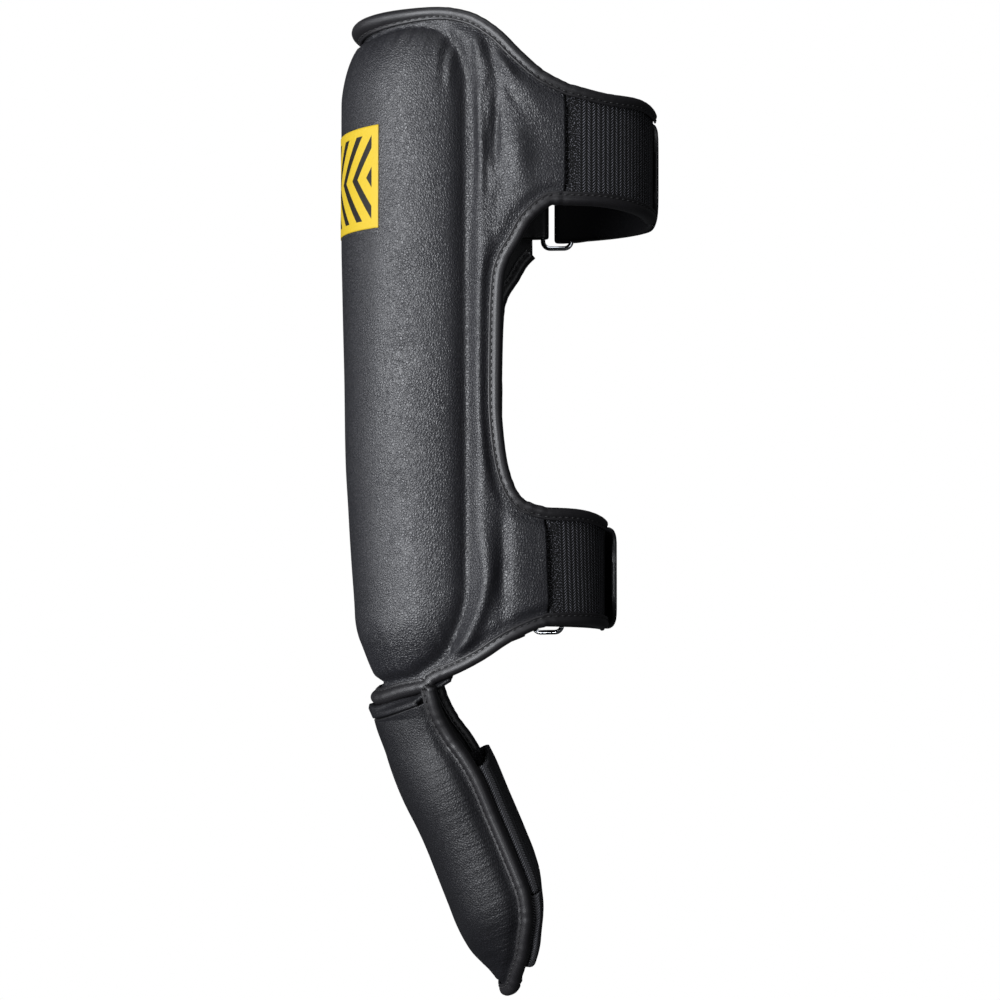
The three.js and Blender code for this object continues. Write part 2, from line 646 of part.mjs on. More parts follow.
// A strap starts where the elastic ends, runs round the back to the ring at the far side, folds
// over its rear wire and comes back on top of itself to the rear.
const tabReach = 5.5;        // from the end of the far wing to the ring's front wire
const wireRadius = ringWire / 2;
const foldRadius = wireRadius + gap + strapThickness / 2;
const rearWireLift = edgeMiddle + foldRadius;
const tailLift = edgeMiddle + strapThickness + gap;
const tailEnd = 3;           // the tail stops this far before the middle of the rear
const loopReach = 5;         // how far the strap's loop stands out in front of the wire
const foldSteps = 6;
const tailSettle = 3;        // fold radii from the wire to where the tail lies on the strap
const tailDip = 0.9;         // its lift at one radius from the wire, in radii
const tailFree = 45;         // length of tail that stands off the strap, more and more
function strapPath(farEnd, rear, standOff) {
  const wire = 2 * rear - (farEnd + tabReach + ringLength);
  const hub = wire + loopReach;
  const settle = wire - tailSettle * foldRadius;
  const tailStop = rear - tailEnd;
  const out = levelPath(rear - elasticEnd + gap, hub, edgeMiddle);
  const fold = Array.from({ length: foldSteps - 1 }, (_, i) => {
    const angle = Math.PI * (i + 1) / foldSteps;
    return [hub + foldRadius * Math.sin(angle), rearWireLift - foldRadius * Math.cos(angle)];
  });
  const back = [
    [hub, rearWireLift + foldRadius], [wire, rearWireLift + foldRadius],
    [wire - foldRadius, rearWireLift + foldRadius * tailDip],
    ...levelPath(settle, tailStop, tailLift).map(([a, lift]) => [
      a, lift + standOff * smooth(1 - (a - tailStop) / tailFree)])];
  return [...out, ...fold, ...back].map(([a, lift]) => [-a, lift]);
}
function calfStrap(name, farEnd, rear, table, standOff) {
  return strapRound(
    name, strapPath(farEnd, rear, standOff), strapThickness, leg, edgesOf(table, rear), 2,
    bindingLeather);
}
const lowerStandOff = 3.4;
const strapUpper = calfStrap('strap_upper', upperFarEnd, upperRear, upperStrapEdges, 0);
const strapLower = calfStrap('strap_lower', lowerFarEnd, lowerRear, lowerStrapEdges, lowerStandOff);

// Rings: a wire bent to a long rectangle, its front wire in the tab, its rear wire in the strap.
const ringCorner = 4;
const wireSides = 6;
function wireRing(name, farEnd, rear, table) {
  const rearWire = farEnd + tabReach + ringLength;
  const [low, high] = edgesOf(table, rear)(2 * rear - rearWire);
  const middle = (low + high) / 2;
  const front = leg.point(farEnd + tabReach, middle, edgeMiddle);
  const back = leg.point(rearWire, middle, rearWireLift);
  const centre = front.clone().add(back).multiplyScalar(0.5);
  const along = leg.point(rearWire, high, rearWireLift).sub(leg.point(rearWire, low, rearWireLift))
    .normalize();
  const across = back.clone().sub(front).projectOnPlane(along).normalize();
  const halfLong = (high - low) / 2 + ringPlay + wireRadius;
  const halfWide = front.distanceTo(back) / 2;
  const route = roundedOutline(halfWide, -halfLong, halfLong, ringCorner);
  const rings = route.map(([a, b], i) => {
    const before = route[(i + route.length - 1) % route.length];
    const after = route[(i + 1) % route.length];
    const length = Math.hypot(after[0] - before[0], after[1] - before[1]);
    const outward = across.clone().multiplyScalar((after[1] - before[1]) / length)
      .addScaledVector(along, -(after[0] - before[0]) / length);
    const up = across.clone().cross(along);
    const hub = centre.clone().addScaledVector(across, a).addScaledVector(along, b);
    return Array.from({ length: wireSides }, (_, k) => {
      const angle = 2 * Math.PI * k / wireSides;
      return hub.clone().addScaledVector(outward, wireRadius * Math.cos(angle))
        .addScaledVector(up, wireRadius * Math.sin(angle));
    });
  });
  return tube(name, rings, null, chromedWire);
}
const ringUpper = wireRing('ring_upper', upperFarEnd, upperRear, upperStrapEdges);
const ringLower = wireRing('ring_lower', lowerFarEnd, lowerRear, lowerStrapEdges);

// Tabs: a leaf on each face of the far wing's end, folded round the ring's front wire.
const tabClear = 1;          // how far past the wing's end the leaves stay flat
const leafShares = [0.4, 0.7, 1];
function ringTab(name, farEnd, rear, table, [, wingHigh], [, wingLow]) {
  const radius = wireRadius + gap + tabThickness / 2;
  const wire = farEnd + tabReach;
  const [strapLow, strapHigh] = edgesOf(table, rear)(2 * rear - wire - ringLength);
  const low = Math.max(wingLow + tabInset, strapLow + ringCorner - ringPlay);
  const high = Math.min(wingHigh - tabInset, strapHigh - ringCorner + ringPlay);
  const middle = (low + high) / 2;
  const inner = -gap - tabThickness / 2;
  const outer = (a) => Math.max(edgeThickness, shellThickness(a, middle)) + gap + tabThickness / 2;
  const fold = Array.from({ length: foldSteps + 1 }, (_, i) => {
    const angle = Math.PI * i / foldSteps;
    return [wire + radius * Math.sin(angle), edgeMiddle - radius * Math.cos(angle)];
  });
  const path = [
    [farEnd - tabLeaf, inner], [farEnd - tabLeaf / 2, inner], [farEnd + tabClear, inner],
    ...fold,
    [farEnd + tabClear, outer(farEnd)], ...leafShares.map((share) => {
      const a = farEnd - tabLeaf * share;
      return [a, outer(a)];
    })];
  return strapRound(
    name, path, tabThickness, leg, () => [low, high], 2, bindingLeather);
}
const ringTabUpper = ringTab(
  'ring_tab_upper', upperFarEnd, upperRear, upperStrapEdges, farTop.at(-1), farBack[0]);
const ringTabLower = ringTab(
  'ring_tab_lower', lowerFarEnd, lowerRear, lowerStrapEdges, farBack.at(-1), farBottom[0]);

// Bindings of the shin part. Each path has the bound sheet on its left.
function elasticEdge(from, rear, table, side) {
  return elasticPlaces(from, rear).map(([a]) => [a, edgesOf(table, rear)(a)[side]]);
}
const topBinding = bindEdge('top_binding', [
  ...[...farTop].reverse(), ...nearTop.slice(1),
  ...elasticEdge(upperWingEnd, upperRear, upperElasticEdges, 1),
], leg, bindingLeather);
const nearEdgeBinding = bindEdge('near_edge_binding', [
  ...elasticEdge(upperWingEnd, upperRear, upperElasticEdges, 0).reverse(), ...nearBack,
  ...elasticEdge(lowerWingEnd, lowerRear, lowerElasticEdges, 1),
], leg, bindingLeather);
const bottomBinding = bindEdge('bottom_binding', [
  ...elasticEdge(lowerWingEnd, lowerRear, lowerElasticEdges, 0).reverse(), ...nearBottom,
  ...[...farBottom].reverse().slice(1),
], leg, bindingLeather);
const farEdgeBinding = bindEdge('far_edge_binding', [...farBack].reverse(), leg, bindingLeather);

// The instep pad, in its own frame: its neck is at the origin and it hangs down along -Z.
// Front of its inner face: [share of the pad's length, share of its thickness].
const footFront = [
  [0, -0.1], [0.06, 0], [0.18, 0.34], [0.41, 0.54], [0.67, 0.45], [0.85, 0.28], [0.965, 0.08],
  [1, 0.05]];
const footSection = (along) => {
  const front = footPadThickness * readTable(footFront, -along / footPadLength);
  return { front, rear: front + footDepth, width: footWidth };
};
const foot = new Form(footSection, () => 0);
// Its edge from the side: [share of the length, share of footReach].
const footReach = 36;
const footTop = 0.054;
const footTip = 0.991;
const footEdge = [
  [footTop, 0.9], [0.12, 0.875], [0.18, 0.895], [0.25, 0.965], [0.33, 1], [0.45, 0.985],
  [0.58, 0.97], [0.655, 0.955], [0.71, 0.925], [0.775, 0.82], [0.83, 0.67], [0.88, 0.53],
  [0.925, 0.35], [0.975, 0.16]];
const footEdgeNear = [
  ...footEdge.map(([w, x]) => {
    const along = -w * footPadLength;
    return [-foot.acrossAt(x * footReach, along), along];
  }), [0, -footTip * footPadLength]];
const nearFoot = smoothPath(footEdgeNear, pathStep);
const footSides = [...nearFoot, ...mirror(nearFoot).reverse().slice(1)];
const topCorner = -nearFoot[0][0];
const topArch = 1.1;         // how much higher the middle of the pad's top edge lies
const footTopAt = (across) => nearFoot[0][1] + topArch * (1 - (across / topCorner) ** 2);
const footOutline = [
  ...footSides,
  ...levelPath(topCorner, -topCorner, 0).slice(1, -1).map(([a]) => [a, footTopAt(a)])];
const footWidthAt = (along) => foot.acrossAt(footReach, along);
const neckRound = 54;        // how far from its top edge the pad has its full height
const toeRound = 44;
const footSideRound = 24;
const footDomePower = 0.75;  // how full it is along its sides
const footSeam = 1.2;        // from the rim to where the padding starts
const eased = (place) => 1 - (1 - clamp(place)) ** 2;
function footThickness(across, along) {
  const inside = edgeDistance(footOutline, across, along) - rimWidth;
  const fromNeck = -along - footTop * footPadLength - rimWidth;
  const fromToe = footTip * footPadLength + along - rimWidth;
  const dome = eased(fromNeck / neckRound) * eased(fromToe / toeRound)
    * eased(inside / footSideRound) ** footDomePower;
  const strip = blend(footPadEdge, wingThickness, smooth(inside / footSeam));
  return strip + (footPadThickness - wingThickness) * dome;
}
const footColumns = [0, 0.16, 0.32, 0.48, 0.62, 0.74, 0.84, 0.92, 1.02];
const footRows = [
  -1, -0.965, -0.93, -0.88, -0.82, -0.75, -0.67, -0.58, -0.48, -0.38, -0.28, -0.2, -0.14, -0.1,
  -0.07, -0.02];
const footSheet = rimmedSheet(
  footOutline, rimWidth, footWidthAt, bothSides(footColumns),
  footRows.map((share) => share * footPadLength));
const instepPad = wrapSheet(
  'instep_pad', footSheet, foot, () => 0, footThickness, padLeather);
const instepBinding = bindEdge('instep_binding', footSides, foot, bindingLeather);

// Elastic bands that close the instep pad behind the foot. Their ends are sewn inside its edges.
const bandSeat = 8;          // how far inside the edge a band starts
const bandInset = bindingWall + bindingPlay + gap + bandThickness / 2;
const bandBulge = 0.8;       // how far its middle bows out behind its ends
const bandLip = 0.5;         // past the pad's edge, where the band leaves the pad
const bandTurn = 2.6;        // past it, where the band has turned to cross behind the foot
const bandTurnInset = 1.35;  // its inset there, in band insets
const bandStep = 1;          // how far the crossing lies behind the turn
const bandPlaces = [0.62, 0.3];
function crossBand(name, topShare, height, rowsCount) {
  const grid = [];
  const sorted = nearFoot.map(([a, b]) => [-b, -a]);
  for (let r = 0; r <= rowsCount; r += 1) {
    const along = -topShare * footPadLength - height * r / rowsCount;
    const edge = readTable(sorted, -along);
    const seat = foot.point(edge - bandSeat, along, -bandInset);
    const lip = foot.point(edge + bandLip, along, -bandInset);
    const turn = foot.point(edge + bandTurn, along, -bandInset * bandTurnInset);
    const side = [seat, lip, turn];
    const crossing = bandPlaces.map((share) => new THREE.Vector3(
      turn.x + bandBulge * (1 - share ** 2) + bandStep, turn.y * share, along));
    const half = [...side, ...crossing];
    const middle = new THREE.Vector3(turn.x + bandBulge + bandStep, 0, along);
    grid.push([
      ...half.map((p) => new THREE.Vector3(p.x, -p.y, p.z)), middle, ...[...half].reverse()]);
  }
  return sheetThrough(name, grid, bandThickness, wovenElastic);
}
const footBandTop = 0.3;     // share of the pad's length
const bandClear = 1;         // between the end of one band and the start of the other
const toeBandTop = footBandTop + (footBandHeight + bandClear) / footPadLength;
const footBand = crossBand('foot_band', footBandTop, footBandHeight, 4);
const toeBand = crossBand('toe_band', toeBandTop, toeBandHeight, 3);

// The pad hangs from the bottom lip's inner face.
const bottomLipMiddle = leg.point(0, bottomLip.at(-1)[1] * halfHeight, 0);
const neckForward = 1.48;    // how far the pad's neck line lies in front of the lip's inner face
const neckOverlap = 1.39;    // and above the lip's edge
const footGroup = new THREE.Group();
footGroup.position.set(bottomLipMiddle.x - neckForward, 0, bottomLipMiddle.z + neckOverlap);
footGroup.rotation.y = -footTilt * Math.PI / 180;
footGroup.add(instepPad, instepBinding, footBand, toeBand);
footGroup.updateMatrixWorld(true);

// Neck: a plain sheet from inside the bottom lip down to the top edge of the instep pad.
const neckLift = -(bindingWall + bindingPlay + 2 * gap + neckThickness / 2);
const neckSteps = 12;
const lipStep = 2.4;         // how far the neck clears the bottom lip before it turns outwards
const neckShare = 0.78;      // of the width of the pad's top edge
const neckPlaces = [1, 0.6, 0.25, 0];  // shares of neckHeight above the lip
const neckReach = 0.23;      // share of wingReach at which the neck ends on the shin part
function neckSheet() {
  const footHalf = topCorner * neckShare;
  const legHalf = leg.acrossAt(neckReach * wingReach, bottomEdge.at(-1)[1] * halfHeight);
  const columnsAt = Array.from({ length: neckSteps + 1 }, (_, i) => 2 * i / neckSteps - 1);
  const onLeg = (above, lift) => columnsAt.map((t) => {
    const across = t * legHalf;
    return leg.point(across, edgeAt(nearBottom, across) + above, lift);
  });
  const onFoot = (above) => columnsAt.map((t) =>
    foot.point(t * footHalf, footTopAt(t * footHalf) + above, edgeMiddle)
      .applyMatrix4(footGroup.matrixWorld));
  const grid = [
    ...neckPlaces.map((share) => onLeg(neckHeight * share, neckLift)),
    onLeg(-lipStep, neckLift), onFoot(lipStep), onFoot(gap)];
  return sheetThrough('instep_neck', grid, neckThickness, padLeather);
}
const instepNeck = neckSheet();

const guard = new THREE.Group();
guard.add(paddedShell, badgePatch, topBinding, nearEdgeBinding, bottomBinding, farEdgeBinding);
guard.add(elasticUpper, elasticLower, strapUpper, strapLower);
guard.add(ringUpper, ringLower, ringTabUpper, ringTabLower, instepNeck, footGroup);
export default guard;
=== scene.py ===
# %% [markdown]
# # A shin guard with a hanging instep pad
# The real guard is sewn from black coated leather over a thick foam pad, and stands open in its
# worn form. Two woven elastic panels and two straps with wire rings close it behind the calf and
# the ankle, and a second, smaller pad hangs from its lower lip over the instep. Each piece below
# is drawn flat, as the leather lies on the cutting table, and then wrapped round the leg.
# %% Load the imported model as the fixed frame
import math
from functools import partial

import bpy
import numpy as np
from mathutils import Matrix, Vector


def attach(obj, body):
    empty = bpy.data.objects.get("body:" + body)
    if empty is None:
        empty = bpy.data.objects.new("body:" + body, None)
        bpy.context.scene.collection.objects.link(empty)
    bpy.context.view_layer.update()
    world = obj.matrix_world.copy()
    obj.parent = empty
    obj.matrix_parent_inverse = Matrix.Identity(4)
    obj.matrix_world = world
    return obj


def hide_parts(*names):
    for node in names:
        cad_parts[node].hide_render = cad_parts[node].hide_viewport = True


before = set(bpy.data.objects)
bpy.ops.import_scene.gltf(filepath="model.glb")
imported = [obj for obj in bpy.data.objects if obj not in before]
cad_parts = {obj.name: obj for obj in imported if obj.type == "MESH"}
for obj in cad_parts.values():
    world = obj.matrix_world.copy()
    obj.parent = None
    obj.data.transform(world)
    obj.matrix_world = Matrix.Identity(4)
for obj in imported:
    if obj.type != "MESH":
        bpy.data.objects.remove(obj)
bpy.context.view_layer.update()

MM = 0.001

# %% [markdown]
# ## The camera
# The photograph is a level side view of the guard, about as tall as its frame. A camera one
# metre away whose lens takes in 530 mm at the guard's middle plane gives the same picture.
# %% Camera
CAMERA_AWAY = 1.0
FRAME_HEIGHT = 0.53
SENSOR_MM = 36.0
camera = bpy.data.objects.new("camera", bpy.data.cameras.new("camera"))
camera.location = (0.054, -CAMERA_AWAY, -0.071)
camera.rotation_euler = (math.radians(90), 0, 0)
camera.data.sensor_width = SENSOR_MM
camera.data.lens = SENSOR_MM * CAMERA_AWAY / FRAME_HEIGHT
camera.data.clip_end = 30
bpy.context.scene.collection.objects.link(camera)
bpy.context.scene.camera = camera
print("camera lens in mm:", round(camera.data.lens, 1))

# %% [markdown]
# ## Numbers that bend softly
# Leather has no straight runs between the points where a maker measures it. So each table below
# is read as a smooth curve through its rows, and each drawn line is a spline through its points.
# %% Curves through a few numbers
def smooth(value):
    """0 below 0, 1 above 1 and an S between: 3 times the square less 2 times the cube."""
    t = np.clip(value, 0, 1)
    return t * t * (3 - 2 * t)


def blend(start, end, share):
    """The value that lies at that share of the way from start to end."""
    return start + (end - start) * share


def bell(value):
    """A soft bump of height 1 that has almost gone at 2: e to the minus square."""
    return np.exp(-np.square(value))


def hermite(a, b, leave, arrive, t):
    """The cubic curve from a to b that leaves and arrives with the given slopes."""
    return (a * (2 * t**3 - 3 * t**2 + 1) + leave * (t**3 - 2 * t**2 + t)
            + b * (3 * t**2 - 2 * t**3) + arrive * (t**3 - t**2))


def read_table(rows, place):
    """Reads rows of (place, value) as a cubic curve. Its slope at a row is that of the line
    between the row's neighbours."""
    at, value = np.array(rows, float).T
    slope = np.empty_like(at)
    slope[1:-1] = (value[2:] - value[:-2]) / (at[2:] - at[:-2])
    slope[0] = (value[1] - value[0]) / (at[1] - at[0])
    slope[-1] = (value[-1] - value[-2]) / (at[-1] - at[-2])
    place = np.clip(place, at[0], at[-1])
    i = np.clip(np.searchsorted(at, place, side="right") - 1, 0, len(at) - 2)
    step = at[i + 1] - at[i]
    t = (place - at[i]) / step
    return hermite(value[i], value[i + 1], slope[i] * step, slope[i + 1] * step, t)


def unit(vectors):
    """Each vector divided by its own length."""
    return vectors / np.linalg.norm(vectors, axis=-1, keepdims=True)


def run_along(path):
    """The length from the start of a line of points to each of them."""
    return np.concatenate([[0], np.cumsum(np.linalg.norm(np.diff(path, axis=0), axis=1))])


def even_steps(path, step):
    """Points at equal steps along a line of points, read off evenly by its length."""
    path = np.asarray(path, float)
    length = run_along(path)
    at = np.linspace(0, length[-1], max(3, int(round(length[-1] / step)) + 1))
    return np.stack([np.interp(at, length, column) for column in path.T], axis=1)


def spline(points, step):
    """A Catmull-Rom curve through the points: between two of them it leaves and arrives along the
    line that joins their neighbours. It is then cut into equal steps."""
    p = np.asarray(points, float)
    before = np.concatenate([p[:1], p[:-2]])
    after = np.concatenate([p[2:], p[-1:]])
    t = np.linspace(0, 1, 24, endpoint=False)[:, None]
    a, b = p[:-1], p[1:]
    leave, arrive = (b - before) / 2, (after - a) / 2
    runs = [hermite(a[i], b[i], leave[i], arrive[i], t) for i in range(len(a))]
    return even_steps(np.concatenate(runs + [p[-1:]]), step)


print("a table's middle value:", float(read_table([(0, 0), (1, 2), (2, 2)], 0.5)))

# %% [markdown]
# ## The two forms
# A leg and a foot are ovals of changing size. A flat sheet is wrapped round such a form: its
# distance across runs round the oval from the middle of the shin, its distance along is the
# height, and its lift is how far a face stands off the form. Wrapping by arc length keeps every
# seam as long as it was when it was flat, as real leather does.
# %% Forms that flat sheets are wrapped round
class Form:
    """An oval tube. section(along) gives front, rear and width; flare(across, along) leans its
    lips outwards. The angle that belongs to each arc length is tabled for every millimetre."""

    def __init__(self, low, high, section, flare, level_from=np.inf):
        self.section, self.flare, self.low, self.level_from = section, flare, low, level_from
        self.levels = np.arange(low, high + 1.0)
        front, rear, width = [column[:, None] for column in section(self.levels)]
        angle = np.linspace(0, np.pi, 361)
        x = (front + rear) / 2 - (rear - front) / 2 * np.cos(angle)
        y = width / 2 * np.sin(angle)
        arc = np.cumsum(np.hypot(np.diff(x, axis=1), np.diff(y, axis=1)), axis=1)
        arc = np.concatenate([np.zeros((len(arc), 1)), arc], axis=1)
        self.total = arc[:, -1]
        self.shares = np.linspace(0, 1, 513)
        self.angles = np.array([np.interp(self.shares, row / row[-1], angle) for row in arc])
        self.x, self.arc = x, arc

    def half_length(self, along):
        """Arc length from the front of the oval to its rear."""
        return np.interp(along, self.levels, self.total)

    def on_oval(self, across, along):
        """Reads the angle from the table at the share of the arc length; x and y follow."""
        across, along = np.broadcast_arrays(np.asarray(across, float), np.asarray(along, float))
        total = self.half_length(along)
        arc, side = np.abs(across), np.where(across < 0, -1.0, 1.0)
        past = arc > total
        arc, side = np.where(past, 2 * total - arc, arc), np.where(past, -side, side)
        row = np.clip(along - self.low, 0, len(self.levels) - 1.001)
        column = np.clip(arc / total, 0, 1) * (len(self.shares) - 1.001)
        i, j = row.astype(int), column.astype(int)
        u, v = row - i, column - j
        angle = blend(blend(self.angles[i, j], self.angles[i + 1, j], u),
                      blend(self.angles[i, j + 1], self.angles[i + 1, j + 1], u), v)
        front, rear, width = self.section(along)
        x = (front + rear) / 2 - (rear - front) / 2 * np.cos(angle)
        return np.stack([x, side * width / 2 * np.sin(angle), along], axis=-1)

    def across_at(self, x, along):
        """Distance across at which the oval has come back to x."""
        level = np.clip(np.round(np.asarray(along, float) - self.low).astype(int),
                        0, len(self.levels) - 1)
        place = [np.interp(px, self.x[k], self.arc[k]) for px, k in
                 zip(np.broadcast_to(x, level.shape).ravel(), level.ravel())]
        return np.array(place).reshape(level.shape)

    def bare(self, across, along):
        """The oval's point, moved out by the flare along the oval's own normal."""
        step = self.on_oval(across + 1, along) - self.on_oval(across - 1, along)
        level = np.zeros_like(step[..., 0])
        outward = unit(np.stack([-step[..., 1], step[..., 0], level], axis=-1))
        return self.on_oval(across, along) + outward * self.flare(across, along)[..., None]

    def point(self, across, along, lift):
        """The bare point plus the lift along the normal, which is up crossed with across. What
        the lift has beyond the wing's thickness is padding, and that swells level outwards."""
        across, along, lift = np.broadcast_arrays(
            *[np.asarray(v, float) for v in (across, along, lift)])
        u = self.bare(across + 1, along) - self.bare(across - 1, along)
        v = self.bare(across, along + 1) - self.bare(across, along - 1)
        normal = unit(np.cross(v, u))
        level = unit(normal * [1, 1, 0])
        skin = np.minimum(lift, self.level_from)[..., None]
        return self.bare(across, along) + normal * skin + level * (lift[..., None] - skin)


# %% The leg, in millimetres
HALF_HEIGHT = 179.0
ANKLE_SET = 4.6
LEG_FRONT = [(-1, 1), (-0.75, 1), (-0.6, 0.78), (-0.43, 0.52), (-0.28, 0.22), (0, 0), (0.3, -0.25),
             (0.4, -0.28), (1, -0.28)]
TAPER_START, TAPER_LENGTH = -78.5, 153.5
ANKLE_REAR, CALF_REAR = 106.6, 132.0
ANKLE_WIDTH, CALF_WIDTH = 90.0, 108.0
TOP_FLARE, BOTTOM_FLARE, FLARE_REACH = 21.0, 16.5, 62.0
TOP_LEAN, BOTTOM_LEAN = 0.78, 0.81


def leg_section(along):
    """Even behind each strap, and tapering from calf to ankle between the two."""
    share = smooth((along - TAPER_START) / TAPER_LENGTH)
    front = ANKLE_SET * read_table(LEG_FRONT, along / HALF_HEIGHT)
    return front, blend(ANKLE_REAR, CALF_REAR, share), blend(ANKLE_WIDTH, CALF_WIDTH, share)


def leg_flare(across, along):
    """Rises from the lean's start to the lip as a power of the height, and dies away sideways."""
    side = np.cos(np.pi / 2 * np.clip(np.abs(across) / FLARE_REACH, 0, 1)) ** 1.5
    start = np.where(along > 0, TOP_LEAN, BOTTOM_LEAN)
    rise = np.clip((np.abs(along) / HALF_HEIGHT - start) / (1 - start), 0, 2)
    return side * np.where(along > 0, TOP_FLARE * rise**2, BOTTOM_FLARE * rise**1.8)


leg = Form(-190, 190, leg_section, leg_flare, level_from=5.0)
print("half way round the calf in mm:", round(float(leg.half_length(104)), 1))

# %% [markdown]
# ## The cut of the leather
# The shell's outline is read off its side view: how far back the edge lies at each height. It
# has a wide wing at the calf and one at the ankle, and between them the edge runs close behind
# the pad. The far side is the near side mirrored, with its wings cut shorter for the rings.
# %% Outline of the shell
WING_REACH = 86.0
TOP_EDGE = [(-0.01, 0.991), (0.14, 0.991), (0.29, 0.987), (0.42, 0.972), (0.52, 0.949),
            (0.63, 0.908), (0.745, 0.85), (0.87, 0.797), (1, 0.765)]
BACK_EDGE = [(1, 0.439), (0.91, 0.435), (0.80, 0.390), (0.73, 0.331), (0.66, 0.268),
             (0.632, 0.19), (0.62, -0.06), (0.626, -0.184), (0.663, -0.313), (0.742, -0.396),
             (0.895, -0.425)]
BOTTOM_EDGE = [(0.895, -0.743), (0.805, -0.759), (0.67, -0.793), (0.535, -0.838),
               (0.407, -0.874), (0.26, -0.913)]
BOTTOM_LIP = [(0.43, -0.931), (0.27, -0.958), (0.13, -0.985), (0, -0.991)]
UPPER_LEVEL, LOWER_LEVEL = 104.0, -106.0
FAR_WING_SHARE = 0.88
FAR_WING_DROP, DROP_START = 8.0, 0.55
PATH_STEP = 2.0


def flatten(rows):
    """Side-view rows as flat points on the near side: across from x by arc length, and along."""
    x, z = np.array(rows, float).T
    return np.stack([-leg.across_at(x * WING_REACH, z * HALF_HEIGHT), z * HALF_HEIGHT], axis=1)


upper_wing = float(leg.across_at(WING_REACH, UPPER_LEVEL))
lower_wing = float(leg.across_at(BACK_EDGE[-1][0] * WING_REACH, LOWER_LEVEL))
upper_far, lower_far = upper_wing * FAR_WING_SHARE, lower_wing * FAR_WING_SHARE
near_top = spline([(0, TOP_EDGE[0][1] * HALF_HEIGHT), *flatten(TOP_EDGE[1:-1]),
                   (-upper_wing, TOP_EDGE[-1][1] * HALF_HEIGHT)], PATH_STEP)
near_back = spline([(-upper_wing, BACK_EDGE[0][1] * HALF_HEIGHT), *flatten(BACK_EDGE[1:-1]),
                    (-lower_wing, BACK_EDGE[-1][1] * HALF_HEIGHT)], PATH_STEP)
near_bottom = spline([(-lower_wing, BOTTOM_EDGE[0][1] * HALF_HEIGHT), *flatten(BOTTOM_EDGE[1:]),
                      *[(-a * ANKLE_WIDTH, b * HALF_HEIGHT) for a, b in BOTTOM_LIP]], PATH_STEP)


def mirrored(path):
    """The same line on the other side of the shin."""
    return path * np.array([-1, 1])


def cut_short(path, limit):
    """The mirrored line as far as the limit across, with a point exactly at the limit."""
    far = mirrored(path)
    order = np.argsort(far[:, 0])
    corner = [limit, np.interp(limit, far[order, 0], far[order, 1])]
    kept = far[far[:, 0] < limit - 0.5]
    return kept, np.array([corner])


upper_half, lower_half = near_back[near_back[:, 1] > 0], near_back[near_back[:, 1] <= 0]
top_kept, top_corner = cut_short(near_top, upper_far)
upper_kept, upper_corner = cut_short(upper_half, upper_far)
lower_kept, lower_corner = cut_short(lower_half, lower_far)
bottom_kept, bottom_corner = cut_short(near_bottom, lower_far)


def drawn_down(path, limit):
    """The pull of the straps has drawn the ends of the far wings down, more and more."""
    share = (path[:, :1] / limit - DROP_START) / (1 - DROP_START)
    return path - [0, FAR_WING_DROP] * smooth(share)


far_top = drawn_down(np.concatenate([top_kept, top_corner]), upper_far)
far_back = np.concatenate([drawn_down(np.concatenate([upper_corner, upper_kept]), upper_far),
                           drawn_down(np.concatenate([lower_kept, lower_corner]), lower_far)])
far_bottom = drawn_down(np.concatenate([bottom_corner, bottom_kept]), lower_far)
shell_outline = np.concatenate([near_top[1:], near_back, near_bottom, far_bottom[::-1][1:],
                                far_back[::-1], far_top[::-1]])
# the near wings stay thick up to the elastic, so their thickness is told from an outline that
# goes on beyond their ends
BEYOND = np.array([-12.0, 0.0])
thick_outline = np.concatenate([
    near_top[1:], near_top[-1:] + BEYOND, near_back[:1] + BEYOND, near_back,
    near_back[-1:] + BEYOND, near_bottom[:1] + BEYOND, near_bottom, far_bottom[::-1][1:],
    far_back[::-1], far_top[::-1]])
print("shell outline:", len(shell_outline), "points")


# %% [markdown]
# Stitch lines, bindings and thickness all follow this outline, so its distance is asked for often.
# %% Distance to an outline
def inside_distance(outline, across, along):
    """Distance to the nearest edge of a closed outline, negative outside it, and the nearest
    point. Outside or inside is told by how often a line to the left crosses the outline."""
    shape = np.shape(across)
    q = np.stack([np.ravel(across), np.ravel(along)], axis=1)
    start, end = outline, np.roll(outline, -1, axis=0)
    side = end - start
    square = np.maximum((side**2).sum(axis=1), 1e-9)
    distance, nearest = np.empty(len(q)), np.empty((len(q), 2))
    for first in range(0, len(q), 4000):
        part = q[first:first + 4000, None, :]
        t = np.clip(((part - start) * side).sum(axis=2) / square, 0, 1)
        foot_points = start + t[..., None] * side
        away = np.linalg.norm(part - foot_points, axis=2)
        best = away.argmin(axis=1)
        rows = np.arange(len(best))
        px, py = part[..., 0], part[..., 1]
        spans = (start[:, 1] > py) != (end[:, 1] > py)
        run = np.where(np.abs(side[:, 1]) < 1e-9, 1e-9, side[:, 1])
        left = start[:, 0] + (py - start[:, 1]) / run * side[:, 0] < px
        inside = (spans & left).sum(axis=1) % 2 == 1
        distance[first:first + 4000] = np.where(inside, 1, -1) * away[rows, best]
        nearest[first:first + 4000] = foot_points[rows, best]
    return distance.reshape(shape), nearest.reshape(*shape, 2)


